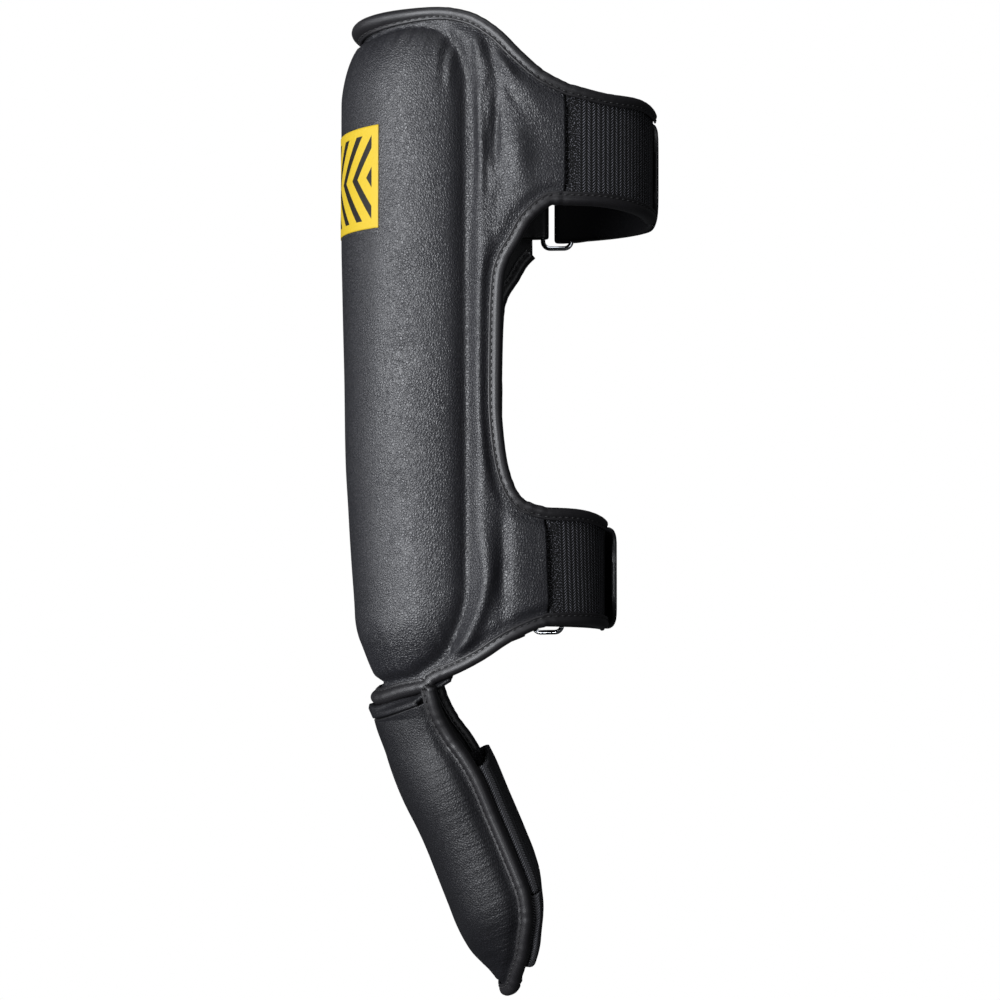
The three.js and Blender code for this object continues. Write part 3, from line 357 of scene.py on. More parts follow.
# %% [markdown]
# ## How thick the shell is
# The foam pad is domed and sewn in along a seam. Behind the seam the leather dips into a groove
# and rises over a soft ridge, where the lining's foam ends, before it lies flat on the wing. The
# pull of the seams leaves small gathers, and the wing has the creases of leather that was once
# turned inside out. All of it is lift above the leg, so all of it is one function.
# %% Thickness of the shell
EDGE_THICK, WING_THICK, PAD_THICK = 3.4, 5.0, 28.5
PAD_REACH = 37.0
BIND_RIM = 5.0
SEAM_TOP, SEAM_LOW, SEAM_CLIMB, CLIMB_REACH = 171.5, -169.5, 22.0, 58.0
PAD_CORNER = 33.0
DOME_ROUNDING = 38.0, 34.0                     # at the ankle, at the calf
RIDGE_MIDDLE, RIDGE_CALF, RIDGE_ANKLE = 2.7, 0.7, 4.0
RIDGE_OUT, RIDGE_WIDE = (10.0, 12.5), (3.9, 4.6)  # at the calf, at the ankle
GROOVE_DEPTH, GROOVE_OUT, GROOVE_WIDE = 2.3, 1.4, 3.4
GATHER_HEIGHT, GATHER_IN, GATHER_WIDE = 0.85, 3.5, 5.5
TOP_PITCH, LOW_PITCH = 5.6, 3.6
WAVE_HEIGHT = 0.32
levels = np.arange(-190.0, 191.0)
groove_line = leg.across_at(PAD_REACH, levels)
random = np.random.default_rng(7)
WAVES = random.normal(size=(28, 2)) * 0.055, random.uniform(0, 6.3, 28)
# folds of the near wing and of the lips: x and z of the middle, half sizes, turn in degrees, height
FOLDS = [
    (44.5, 156, 2.6, 9, -8, 2.0), (50.5, 151, 1.9, 10, -14, -1.5), (57.5, 146, 3.2, 7, -30, 2.4),
    (52.6, 112, 1.9, 22, 1, -2.6), (50.0, 124, 2.2, 12, 4, 0.9), (62.5, 104, 6.5, 17, -6, 2.9),
    (70.0, 128, 5, 12, -38, 1.0), (47.0, 138, 1.8, 8, 12, 0.9), (55.5, 84, 3, 9, 20, -1.2),
    (41.5, 105, 2.4, 36, 0, -1.9), (45.5, 112, 2.0, 26, -3, 1.2), (49.0, 98, 2.2, 30, 3, -1.7),
    (66, 150, 2.2, 9, -52, -0.9), (60, 132, 1.8, 9, -28, -0.8), (50, 96, 2.2, 9, -14, 0.8),
    (55.5, -100, 3.2, 30, 2, -2.0), (46.0, -92, 3.2, 26, -2, 1.1), (62, -100, 7, 20, 0, 0.6),
    (30, -150, 5, 7, 30, -0.9), (76, -96, 5, 18, 8, 0.4),
]


def pad_inside(across, along):
    """How far inside the pad's seam a point lies: a rounded box whose sides follow the groove
    and whose lower seam climbs towards the sides."""
    a = np.abs(across)
    half = np.interp(along, levels, groove_line)
    low = SEAM_LOW + SEAM_CLIMB * (a / CLIMB_REACH) ** 2.2
    dx = a - (half - PAD_CORNER)
    dy = np.maximum(low + PAD_CORNER - along, along - (SEAM_TOP - PAD_CORNER))
    outside = np.hypot(np.maximum(dx, 0), np.maximum(dy, 0))
    return PAD_CORNER - outside - np.minimum(np.maximum(dx, dy), 0)


def unevenness(across, along):
    """The sum of a few dozen long waves, so that no highlight is ruler-straight."""
    (directions, phases), total = WAVES, 0
    for (kx, ky), phase in zip(directions, phases):
        total = total + np.sin(kx * across + ky * along + phase)
    return total / 7.0


def gathers(place, pitch, seed):
    """Puckers along a seam: three sines of nearly equal pitch, which drift in and out of step."""
    turn = 2 * np.pi / pitch
    return (np.sin(turn * place + seed) + 0.7 * np.sin(turn * 0.73 * place + 2.1 * seed)
            + 0.5 * np.sin(turn * 1.37 * place + 0.7 * seed)) / 1.6


def folds_on(across, along):
    """Each fold is a stretched and turned bell, placed by the x and z that its middle has."""
    total = np.zeros(np.shape(across))
    for x, z, wide, tall, turn, height in FOLDS:
        middle = -float(leg.across_at(x, z))
        c, s = math.cos(math.radians(turn)), math.sin(math.radians(turn))
        for side in (1, -1):
            da, dz = (across * side - middle), along - z
            total += height * bell((c * da + s * dz) / wide) * bell((-s * da + c * dz) / tall)
    return total


def shell_lift(across, along, edge):
    """Outer face of the shell: edge strip, then wing, and on it the pad's dome, the ridge behind
    its seam, gathers, folds and unevenness, all fading out where the binding grips."""
    inside = pad_inside(across, along)
    half = np.interp(along, levels, groove_line)
    rounding = blend(*DOME_ROUNDING, np.clip(0.5 + along / HALF_HEIGHT, 0, 1))
    dome = (1 - (1 - np.clip(inside / rounding, 0, 1)) ** 2) ** 0.8
    share = np.clip(np.abs(across) / half, 0, 1)
    slim = 1 - 0.1 * smooth(-along / HALF_HEIGHT - 0.3)
    pad = (PAD_THICK * slim - WING_THICK) * (1 - 0.5 * share**2) * dome
    out = np.maximum(-inside, 0)
    low_part, high_part = smooth((-along - 60) / 50), smooth((along - 40) / 60)
    height = blend(RIDGE_MIDDLE, RIDGE_CALF, high_part)
    height = blend(height, RIDGE_ANKLE, smooth((-along - 84) / 26))
    height = height * (1 - 0.6 * bell((along + 78) / 20))
    ridge = height * bell((out - blend(*RIDGE_OUT, low_part)) / blend(*RIDGE_WIDE, low_part))
    seam = -GROOVE_DEPTH * bell((inside + GROOVE_OUT) / GROOVE_WIDE)
    pull = bell((inside - GATHER_IN) / GATHER_WIDE) * smooth((np.abs(along) - 128) / 20)
    puckers = GATHER_HEIGHT * pull * np.where(
        along > 0, gathers(across, TOP_PITCH, 1.0), gathers(across, LOW_PITCH, 2.0))
    wing = blend(EDGE_THICK, WING_THICK, smooth((edge - BIND_RIM) / 6))
    fade = smooth((edge - BIND_RIM) / 4)
    relief = (pad + ridge + seam + puckers + folds_on(across, along)
              + WAVE_HEIGHT * unevenness(across, along))
    return wing + relief * fade


print("pad stands", PAD_THICK, "mm proud of the shin")


# %% [markdown]
# ## From numbers to a mesh
# A piece is a grid of cells, some of them switched off outside the outline. Its outer and inner
# faces are the same grid at two lifts, and a wall joins them wherever a cell has no neighbour,
# so every piece is a closed solid with its faces outwards.
# %% Mesh builders
def new_piece(name, points, quads, materials, node=None, face_material=None, uv=None):
    """Puts points in millimetres and quads into a new mesh object that rides on the frame. node
    is the CAD piece that it replaces."""
    mesh = bpy.data.meshes.new(name)
    points, quads = np.asarray(points), np.asarray(quads, np.int32)
    mesh.vertices.add(len(points))
    mesh.vertices.foreach_set("co", (points * MM).astype(np.float32).ravel())
    mesh.loops.add(quads.size)
    mesh.loops.foreach_set("vertex_index", quads.ravel())
    mesh.polygons.add(len(quads))
    mesh.polygons.foreach_set("loop_start", np.arange(0, quads.size, 4, dtype=np.int32))
    mesh.polygons.foreach_set("use_smooth", np.ones(len(quads), bool))
    for material in materials:
        mesh.materials.append(material)
    if face_material is not None:
        mesh.polygons.foreach_set("material_index", np.asarray(face_material, np.int32))
    if uv is not None:
        layer = mesh.uv_layers.new(name="flat")
        corners = (np.asarray(uv) * MM).astype(np.float32)[quads.ravel()]
        layer.data.foreach_set("uv", corners.ravel())
    mesh.update(calc_edges=True)
    mesh.validate()
    if signed_volume(points, quads) < 0:
        mesh.flip_normals()
    piece = bpy.data.objects.new(name, mesh)
    bpy.context.scene.collection.objects.link(piece)
    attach(piece, "root")
    if node:
        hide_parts(node)
    return piece


def signed_volume(points, quads):
    """Six times the volume inside closed quads, negative where they face inwards: the sum of
    each triangle's corner times the cross product of its other two."""
    a, b, c, d = [points[quads[:, k]] for k in range(4)]
    return (a * np.cross(b, c)).sum() + (a * np.cross(c, d)).sum()


def layered(inner, outer, flat, keep=None):
    """Two layers of a grid of points and the walls between them. keep says which cells exist.
    Returns the points, quads, flat coordinates and, per quad, 0 outside, 1 inside and 2 wall."""
    rows, columns = inner.shape[:2]
    if keep is None:
        keep = np.ones((rows - 1, columns - 1), bool)
    count = rows * columns
    index = np.arange(count).reshape(rows, columns)
    a, b, c, d = index[:-1, :-1], index[1:, :-1], index[1:, 1:], index[:-1, 1:]
    outside = np.stack([a, b, c, d], axis=-1)[keep]
    inside = outside[:, ::-1] + count
    padded = np.pad(keep, 1)
    walls = []
    for neighbour, first, second in (
            (padded[:-2, 1:-1], d, a), (padded[2:, 1:-1], b, c),
            (padded[1:-1, :-2], a, b), (padded[1:-1, 2:], c, d)):
        open_side = keep & ~neighbour
        p, q = first[open_side], second[open_side]
        walls.append(np.stack([q, p, p + count, q + count], axis=1))
    walls = np.concatenate(walls)
    quads = np.concatenate([outside, inside, walls])
    kind = np.repeat([0, 1, 2], [len(outside), len(inside), len(walls)])
    points = np.concatenate([outer.reshape(-1, 3), inner.reshape(-1, 3)])
    uv = np.concatenate([flat.reshape(-1, 2)] * 2)
    used, quads = np.unique(quads, return_inverse=True)
    return points[used], quads.reshape(-1, 4), uv[used], kind


def cut_grid(outline, columns, rows, trim):
    """A grid cut to an outline: cells whose middle lies inside stay, and grid points that lie
    over the trimmed edge are drawn back onto it, so the cut is clean."""
    across, along = np.meshgrid(columns, rows)
    middle_a = (across[1:, 1:] + across[:-1, :-1]) / 2
    middle_z = (along[1:, 1:] + along[:-1, :-1]) / 2
    keep = inside_distance(outline, middle_a, middle_z)[0] > trim
    edge, nearest = inside_distance(outline, across, along)
    here = np.stack([across, along], axis=-1)
    inward = (here - nearest) * np.sign(edge)[..., None]
    inward /= np.maximum(np.linalg.norm(inward, axis=-1, keepdims=True), 1e-6)
    return np.where((edge < trim)[..., None], nearest + inward * trim, here), keep


# %% [markdown]
# ## Materials
# One small function adds a node, sets it up and links it. Colours are written as the hex values
# that a paint chart would give and turned to linear light in one place.
# %% Helpers for materials
def linear(code):
    """An sRGB hex colour as linear red, green, blue and full alpha."""
    parts = np.array([int(code[i:i + 2], 16) for i in (1, 3, 5)]) / 255
    return (*np.where(parts <= 0.04045, parts / 12.92, ((parts + 0.055) / 1.055) ** 2.4), 1.0)


def add_node(tree, kind, settings=None, **links):
    """Adds a node; settings are its properties, and links are its inputs by name or number
    (as _0, _1), each a value or another node's output."""
    node = tree.nodes.new(kind)
    for key, value in (settings or {}).items():
        setattr(node, key, value)
    for key, value in links.items():
        socket = node.inputs[int(key[1:]) if key[0] == "_" else key.replace("_", " ")]
        if isinstance(value, bpy.types.NodeSocket):
            tree.links.new(value, socket)
        else:
            socket.default_value = value
    return node


def new_material(name, color, roughness, metallic=0.0, shine=0.5):
    """A material whose shader has its constants set on its own sockets."""
    material = bpy.data.materials.new(name)
    material.use_nodes = True
    shader = material.node_tree.nodes["Principled BSDF"]
    for socket, value in {"Base Color": linear(color), "Roughness": roughness, "IOR": 1.5,
                          "Metallic": metallic, "Specular IOR Level": shine}.items():
        shader.inputs[socket].default_value = value
    return material, material.node_tree, shader


def math_node(tree, operation, *values):
    """The result of a sum on numbers or other nodes' outputs."""
    inputs = {f"_{i}": value for i, value in enumerate(values)}
    return add_node(tree, "ShaderNodeMath", {"operation": operation}, **inputs).outputs[0]


def noise(tree, place, scale, detail, output="Fac"):
    """Cloudy noise, finer with a larger scale."""
    node = add_node(tree, "ShaderNodeTexNoise", {}, Vector=place, Scale=scale, Detail=detail)
    return node.outputs[output]


def ramp(tree, value, low, high, to_low, to_high):
    """Maps a value from one range to another, held at both ends."""
    return add_node(tree, "ShaderNodeMapRange", {"clamp": True}, Value=value, _1=low, _2=high,
                    _3=to_low, _4=to_high).outputs[0]


def object_place(tree):
    """Where a point lies in its own object, in metres."""
    return add_node(tree, "ShaderNodeTexCoord").outputs["Object"]


def flat_place(tree):
    """The piece's flat map in metres, whole and as its two coordinates."""
    uv = add_node(tree, "ShaderNodeUVMap", {"uv_map": "flat"}).outputs[0]
    parts = add_node(tree, "ShaderNodeSeparateXYZ", {}, _0=uv).outputs
    return uv, parts[0], parts[1]


def bumped(tree, shader, height, depth_mm):
    """Lets a height between 0 and 1 shade the surface as relief of that depth."""
    bump = add_node(tree, "ShaderNodeBump", {}, Height=height, Distance=depth_mm * MM)
    tree.links.new(bump.outputs[0], shader.inputs["Normal"])


def two_tones(tree, shader, share, first, second):
    """Lets the base colour run from the first linear colour to the second."""
    tone = add_node(tree, "ShaderNodeMix", {"data_type": "RGBA"}, Factor=share, _6=first, _7=second)
    tree.links.new(tone.outputs[2], shader.inputs["Base Color"])


# %% [markdown]
# **Coated split leather** is rolled under a heated plate, which presses in pebbles a little over
# a millimetre across with fine wrinkles between them. To the eye that is a soft, broad gloss
# that breaks up into grains, and a little more shine where hands have rubbed it.
# %% Pressed leather
def pressed_leather(name, color, roughness, pebble_mm, depth_mm, shine):
    """Pebbles are Voronoi cells with a crease along each border; slow noise bends the cells,
    makes some areas shinier and lets the height of the pebbles swell and fade."""
    material, tree, shader = new_material(name, color, roughness, shine=shine)
    place = object_place(tree)
    bent = add_node(tree, "ShaderNodeVectorMath", {"operation": "MULTIPLY_ADD"}, _2=place,
                    _0=noise(tree, place, 330.0, 3.0, "Color"), _1=(0.0014, 0.0014, 0.0014))
    cells = add_node(tree, "ShaderNodeTexVoronoi", {"feature": "DISTANCE_TO_EDGE"},
                     Vector=bent.outputs[0], Scale=1000.0 / pebble_mm)
    pebbles = ramp(tree, cells.outputs["Distance"], 0.0, 0.3, 0.0, 1.0)
    amount = ramp(tree, noise(tree, place, 60.0, 3.0), 0.35, 0.65, 0.75, 1.0)
    relief = math_node(tree, "MULTIPLY_ADD", noise(tree, place, 1900.0, 3.0), 0.45,
                       math_node(tree, "MULTIPLY", pebbles, amount))
    bumped(tree, shader, relief, depth_mm)
    worn = noise(tree, place, 25.0, 4.0)
    gloss = ramp(tree, worn, 0.35, 0.68, roughness - 0.02, roughness + 0.04)
    gloss = math_node(tree, "MULTIPLY_ADD", pebbles, -0.08, gloss)
    tree.links.new(gloss, shader.inputs["Roughness"])
    # painted shade and painted light: the creases between pebbles get a darker base colour and the
    # pebble tops a lighter one
    crease, top = [(*[share * v for v in linear(color)[:3]], 1.0) for share in (0.55, 1.15)]
    two_tones(tree, shader, pebbles, crease, top)
    return material


pad_leather = pressed_leather("pressed_leather", "#17171b", 0.45, 1.3, 0.17, 0.52)
foot_leather = pressed_leather("pressed_leather_small", "#141417", 0.48, 1.3, 0.14, 0.3)
lining = pressed_leather("smooth_lining", "#141416", 0.60, 1.0, 0.05, 0.3)
binding_leather = pressed_leather("binding_tape", "#1a191b", 0.46, 0.9, 0.03, 0.45)
strap_leather = pressed_leather("strap_leather", "#151517", 0.45, 1.1, 0.04, 0.4)
print("leathers made")


# %% [markdown]
# **Sewing thread** is bonded polyester: slightly shiny, twisted. **Chromed wire** is a mirror.
# **Elastic webbing** is woven in a herringbone: columns of slanting yarns that change direction
# every two to three millimetres. The yarns are texturised polyester, dull with tiny glints.
# %% Thread, wire and webbing
thread, tree, shader = new_material("bonded_thread", "#070708", 0.60)
bumped(tree, shader, noise(tree, object_place(tree), 2600.0, 2.0), 0.12)

chromed_wire, tree, shader = new_material("chromed_steel", "#d3d6da", 0.10, metallic=1.0)
rubbed = ramp(tree, noise(tree, object_place(tree), 900.0, 3.0), 0.3, 0.7, 0.06, 0.17)
tree.links.new(rubbed, shader.inputs["Roughness"])


def herringbone(name, color, crest_highlight, column_mm, pitch_mm, strip_mm):
    """Slanting yarns whose phase is the height plus a triangle wave across the columns; the
    first strip along the band is over-sewn and rougher. Reads the piece's flat map in metres."""
    material, tree, shader = new_material(name, color, 0.85, shine=0.25)
    uv, along, up = flat_place(tree)
    half = column_mm * MM / 2
    slant = math_node(tree, "PINGPONG", along, column_mm * MM)
    height = math_node(tree, "MULTIPLY_ADD", noise(tree, uv, 900.0, 2.0), 0.0005,
                       math_node(tree, "ADD", up, slant))
    turns = math_node(tree, "MULTIPLY", height, 2 * math.pi / (pitch_mm * MM))
    yarns = ramp(tree, math_node(tree, "SINE", turns), -0.3, 0.9, 0.0, 1.0)
    off = math_node(tree, "ABSOLUTE", math_node(tree, "SUBTRACT", slant, half))
    weave = math_node(tree, "MULTIPLY", yarns, ramp(tree, off, 0.0, half, 1.0, 0.35))
    rough_strip = ramp(tree, noise(tree, uv, 1500.0, 3.0), 0.42, 0.66, 0.0, 0.9)
    first = ramp(tree, along, strip_mm * MM, (strip_mm + 0.6) * MM, 1.0, 0.0)
    relief = add_node(tree, "ShaderNodeMix", {"data_type": "FLOAT"}, Factor=first,
                      _2=weave, _3=rough_strip).outputs[0]
    bumped(tree, shader, relief, 0.6)
    # painted shade in the hollows and painted highlight on the raised yarns: the base colour runs
    # from the first colour to the second as the relief rises
    share = ramp(tree, relief, 0.45, 0.95, 0.0, 1.0)
    two_tones(tree, shader, share, linear(color), linear(crest_highlight))
    return material


# the second colour of each webbing is a painted highlight on the yarn crests, the first a painted
# shade in the hollows
elastic_web = herringbone("woven_elastic", "#030304", "#77777e", 2.7, 1.45, 6.5)
foot_web = herringbone("woven_foot_band", "#242426", "#68686c", 2.2, 1.4, 3.0)
print("webbing made")

# %% [markdown]
# **The patch** is a yellow print on smooth film. Its own pattern here is plain: nested black
# chevrons that point to the front of the shin. They are worked out from the patch's flat map.
# %% Patch
PATCH_YELLOW, PATCH_INK = "#a58c1e", "#12100c"
PATCH_MIDDLE, PATCH_HALF, PATCH_HALF_TALL = 92.4, 35.0, 26.0
BAR_SLOPE, BAR_PITCH, BAR_START = 0.55, 4.4, 2.5
PRINT_HALF_TALL, PRINT_HALF, PRINT_BLUR = 21.6, PATCH_HALF - 3.2, 0.2
patch_film, tree, shader = new_material("printed_film", PATCH_YELLOW, 0.5, shine=0.25)
_, across, along = flat_place(tree)
side = math_node(tree, "ABSOLUTE", across)
up = math_node(tree, "ABSOLUTE", math_node(tree, "SUBTRACT", along, PATCH_MIDDLE * MM))
wave = math_node(tree, "PINGPONG", math_node(tree, "MULTIPLY_ADD", up, -BAR_SLOPE, side),
                 BAR_PITCH * MM)
inked = ramp(tree, wave, BAR_START * MM, (BAR_START + PRINT_BLUR) * MM, 0.0, 1.0)
for distance, limit in ((up, PRINT_HALF_TALL), (side, PRINT_HALF)):
    within = ramp(tree, distance, limit * MM, (limit + PRINT_BLUR) * MM, 1.0, 0.0)
    inked = math_node(tree, "MULTIPLY", inked, within)
two_tones(tree, shader, inked, linear(PATCH_YELLOW), linear(PATCH_INK))
weave = add_node(tree, "ShaderNodeTexVoronoi", {"feature": "SMOOTH_F1"},
                 Vector=object_place(tree), Scale=620.0)
bumped(tree, shader, weave.outputs["Distance"], 0.06)

# %% [markdown]
# ## The padded shell
# On the real guard this is one skin of leather over foam. The grid is a little finer across than
# along, because the gathers at the lips run along the seams there.
# %% Shell
def leather_on_foam(name, node, form, grid, thick_edge, least, lift, leather):
    """A padded skin over a cut grid: its inner face lies on the form and carries the lining. Its
    thickness follows the distance to thick_edge, which is never less than the least."""
    flat, keep = grid
    across, along = flat[..., 0], flat[..., 1]
    edge = np.maximum(inside_distance(thick_edge, across, along)[0], least)
    points, quads, uv, kind = layered(
        form.point(across, along, 0.0),
        form.point(across, along, lift(across, along, edge)), flat, keep)
    piece = new_piece(name, points, quads, [leather, lining], node,
                      face_material=(kind > 0).astype(int), uv=uv)
    print(name, "quads:", len(quads))


TRIM = 0.4
shell_grid = cut_grid(shell_outline, np.arange(-126.0, 126.1, 1.05),
                      np.arange(-178.6, 178.7, 1.6), TRIM)
leather_on_foam("leather_shell", "padded_shell", leg, shell_grid, thick_outline, TRIM,
                shell_lift, pad_leather)

# %% Patch on the pad
FAR_FROM_EDGE = 30.0
patch_across, patch_along = np.meshgrid(
    np.linspace(-PATCH_HALF, PATCH_HALF, 150),
    np.linspace(PATCH_MIDDLE - PATCH_HALF_TALL, PATCH_MIDDLE + PATCH_HALF_TALL, 60))
lift = shell_lift(patch_across, patch_along, np.full(patch_across.shape, FAR_FROM_EDGE))
points, quads, uv, _ = layered(leg.point(patch_across, patch_along, lift - 0.2),
                               leg.point(patch_across, patch_along, lift + 0.35),
                               np.stack([patch_across, patch_along], axis=-1))
new_piece("front_patch", points, quads, [patch_film], "badge_patch", uv=uv)
print("patch quads:", len(quads))

# %% [markdown]
# ## Webbing and straps
# A strap is a path seen from above, given by distance across and lift, carried from its lower
# edge to its upper one. The last rows thin out, which rounds the strap's edges.
# %% Strap builder
UPPER_REAR, LOWER_REAR = [float(leg.half_length(level)) for level in (UPPER_LEVEL, LOWER_LEVEL)]
EDGE_MID = EDGE_THICK / 2
# share of the way to the rear, lower and upper edge as shares of the half height
UPPER_ELASTIC = [(0.6, 0.439, 0.765), (0.72, 0.441, 0.745), (0.86, 0.432, 0.747), (1, 0.417, 0.728)]
LOWER_ELASTIC = [(0.6, -0.743, -0.425), (0.8, -0.748, -0.434), (1, -0.774, -0.472)]
UPPER_STRAP = [(0.9, 0.409, 0.734), (1, 0.409, 0.734), (1.6, 0.405, 0.73)]
LOWER_STRAP = [(0.9, -0.78, -0.475), (1, -0.782, -0.477), (1.6, -0.791, -0.484)]
# name, near wing, far wing, rear, edges of elastic and strap, tail's stand-off and distance to rear
CLOSURES = (
    ("upper", upper_wing, upper_far, UPPER_REAR, UPPER_ELASTIC, UPPER_STRAP, 0.0, 3.0),
    ("lower", lower_wing, lower_far, LOWER_REAR, LOWER_ELASTIC, LOWER_STRAP, 3.4, 6.0))
ROUND_ROWS = np.concatenate([[0, 0.006, 0.02, 0.04], np.linspace(0.08, 0.92, 22),
                             [0.96, 0.98, 0.994, 1]])
ROUND_SHAPE = np.interp(np.minimum(ROUND_ROWS, 1 - ROUND_ROWS), [0, 0.006, 0.02, 0.04, 1],
                        [0.3, 0.72, 0.95, 1, 1])


def edges_of(table, rear, across):
    """Low and high edge in mm at a distance across."""
    share = np.abs(across) / rear
    return [read_table([(row[0], row[c]) for row in table], share) * HALF_HEIGHT for c in (1, 2)]


def declare_sheet(piece, first, second):
    """Prints a sheet's flat size."""
    print(piece.name, round(first, 1), "x", round(second, 1), "mm flat")


def strap_round(name, node, path, thickness, edges, looks, ends=None):
    """Offsets the path by half the thickness to each side and closes it into a loop, then lays
    one copy of the loop at each row between the strap's edges. ends rounds the strap's corners."""
    path = np.asarray(path, float)
    run = np.gradient(path, axis=0)
    half = unit(np.stack([-run[:, 1], run[:, 0]], axis=1)) * thickness / 2
    length = run_along(path)
    low, high = edges(path[:, 0])
    if ends is not None:
        near_end = np.clip(1 - (length[-1] - length) / ends, 0, 1)
        cut = ends * (1 - np.sqrt(np.clip(1 - near_end**2, 0, 1)))
        low, high = low + cut, high - cut
    along = blend(low, high, ROUND_ROWS[:, None])
    shape = ROUND_SHAPE[:, None]
    inner, outer = [leg.point(path[:, 0] + side * half[:, 0] * shape, along,
                              path[:, 1] + side * half[:, 1] * shape) for side in (-1, 1)]
    flat = np.stack(np.broadcast_arrays(length, along), axis=-1)
    points, quads, uv, _ = layered(inner, outer, flat)
    material, slot = looks
    piece = new_piece(name, points, quads, [material], node, uv=uv)
    declare_sheet(piece, float(np.mean(high - low)), float(length[-1]))


# %% Elastic panels
def level_path(start, end, lift, step):
    """Points at one lift, evenly from one distance across to another."""
    count = max(2, int(round(abs(end - start) / step)))
    return np.stack([np.linspace(start, end, count + 1), np.full(count + 1, lift)], axis=1)


ELASTIC_END, ELASTIC_THICK = 8.0, 2.4
for name, wing, _, rear, table, *_ in CLOSURES:
    strap_round("elastic_panel_" + name, "elastic_" + name,
                level_path(-(wing + 0.3), -(rear - ELASTIC_END), EDGE_MID, 1.5), ELASTIC_THICK,
                partial(edges_of, table, rear), (elastic_web, "elastic"))

# %% [markdown]
# A strap starts where the elastic ends, runs round the back to the ring on the far side, folds
# over the ring's rear wire and comes back on top of itself. Its tail ends at the rear with
# rounded corners, and at the ankle it stands off a little.
# %% Straps
TAB_REACH, RING_LENGTH, WIRE_RADIUS, STRAP_THICK, GAP = 5.5, 15.0, 1.3, 2.6, 0.3
FOLD_RADIUS = WIRE_RADIUS + GAP + STRAP_THICK / 2
REAR_LIFT = EDGE_MID + FOLD_RADIUS
TAIL_LIFT = EDGE_MID + STRAP_THICK + GAP
LOOP_REACH, FREE_TAIL, STRAP_CORNER = 5.0, 45.0, 18.0
STRAP_LOOKS = strap_leather, "binding_leather"


def strap_path(far_end, rear, stand_off, tail_end):
    """Out at one lift, half a turn round the wire, and back one thickness further out."""
    wire = 2 * rear - (far_end + TAB_REACH + RING_LENGTH)
    hub = wire + LOOP_REACH
    out = level_path(rear - ELASTIC_END + GAP, hub, EDGE_MID, 2)
    angle = np.pi * np.arange(1, 12)[:, None] / 12
    fold = np.concatenate([hub + FOLD_RADIUS * np.sin(angle),
                           REAR_LIFT - FOLD_RADIUS * np.cos(angle)], axis=1)
    back = level_path(wire - 3 * FOLD_RADIUS, rear - tail_end, TAIL_LIFT, 2)
    back[:, 1] += stand_off * smooth(1 - (back[:, 0] - back[-1, 0]) / FREE_TAIL)
    bend = spline([(hub, REAR_LIFT + FOLD_RADIUS), (wire, REAR_LIFT + FOLD_RADIUS),
                   (wire - FOLD_RADIUS, REAR_LIFT + 0.9 * FOLD_RADIUS), tuple(back[0])], 1.5)
    return mirrored(np.concatenate([out[:-1], [[hub, EDGE_MID]], fold, bend[:-1], back]))


for name, _, far_end, rear, _, table, stand_off, tail_end in CLOSURES:
    strap_round("closing_strap_" + name, "strap_" + name,
                strap_path(far_end, rear, stand_off, tail_end), STRAP_THICK,
                partial(edges_of, table, rear), STRAP_LOOKS,
                ends=STRAP_CORNER)

# %% [markdown]
# ## Rings and their tabs
# Each ring is one wire bent to a long rectangle and butt-welded. A tube of points swept along
# that rectangle is the plainest way to get its round section and its soft corners.
# %% Wire rings
def sweep(path, wide, up, radius, sides=14):
    """A tube round a closed path that lies across up."""
    run = unit(np.roll(path, -1, axis=0) - np.roll(path, 1, axis=0))
    outward = np.cross(run, up)
    angle = 2 * np.pi * np.arange(sides) / sides
    ring = (path[:, None] + radius * (outward[:, None] * np.cos(angle)[:, None]
                                      + up * np.sin(angle)[:, None]))
    index = np.arange(len(path) * sides).reshape(len(path), sides)
    right, down = np.roll(index, -1, axis=1), np.roll(index, -1, axis=0)
    quads = np.stack([index, right, np.roll(right, -1, axis=0), down], axis=-1).reshape(-1, 4)
    return ring.reshape(-1, 3), quads


def rounded_rectangle(half_wide, half_long, radius, step=0.6):
    """Four straight sides and four quarter circles, at even steps."""
    corners = [(1, 1, 0), (-1, 1, 1), (-1, -1, 2), (1, -1, 3)]
    line = []
    for sx, sy, quarter in corners:
        angle = np.pi / 2 * (quarter + np.linspace(0, 1, 9))
        line.append(np.stack([sx * (half_wide - radius) + radius * np.cos(angle),
                              sy * (half_long - radius) + radius * np.sin(angle)], axis=1))
    line = np.concatenate(line + [line[0][:1]])
    return even_steps(line, step)[:-1]


TAB_INSET, TAB_MARGIN, RING_CORNER = 5.4, 2, 4
wing_ends = {"upper": (far_back[0, 1], far_top[-1, 1]),
             "lower": (far_bottom[0, 1], far_back[-1, 1])}
ring_frames = {}
for name, _, far_end, rear, _, table, *_ in CLOSURES:
    rear_wire = far_end + TAB_REACH + RING_LENGTH
    low, high = [float(v) for v in edges_of(table, rear, 2 * rear - rear_wire)]
    middle = (low + high) / 2
    front = leg.point(far_end + TAB_REACH, middle, EDGE_MID)
    back = leg.point(rear_wire, middle, REAR_LIFT)
    tall = unit(leg.point(rear_wire, high, REAR_LIFT) - leg.point(rear_wire, low, REAR_LIFT))
    wide = unit((back - front) - tall * ((back - front) @ tall))
    route = rounded_rectangle(np.linalg.norm(back - front) / 2,
                              (high - low) / 2 + TAB_MARGIN + WIRE_RADIUS, RING_CORNER)
    path = (front + back) / 2 + route[:, :1] * wide + route[:, 1:] * tall
    points, quads = sweep(path, wide, np.cross(wide, tall), WIRE_RADIUS)
    new_piece("wire_ring_" + name, points, quads, [chromed_wire], "ring_" + name)
    wing_low, wing_high = wing_ends[name]
    ring_frames[name] = (far_end, max(wing_low + TAB_INSET, low + TAB_MARGIN),
                         min(wing_high - TAB_INSET, high - TAB_MARGIN))
print("tabs, from the wing's end, low and high:", ring_frames)

# %% Ring tabs
TAB_THICK, TAB_LEAF, TAB_TURN = 1.6, 12.0, 1.5


def level_edges(low, high, across):
    """Straight low and high edges."""
    return np.full(np.shape(across), low), np.full(np.shape(across), high)


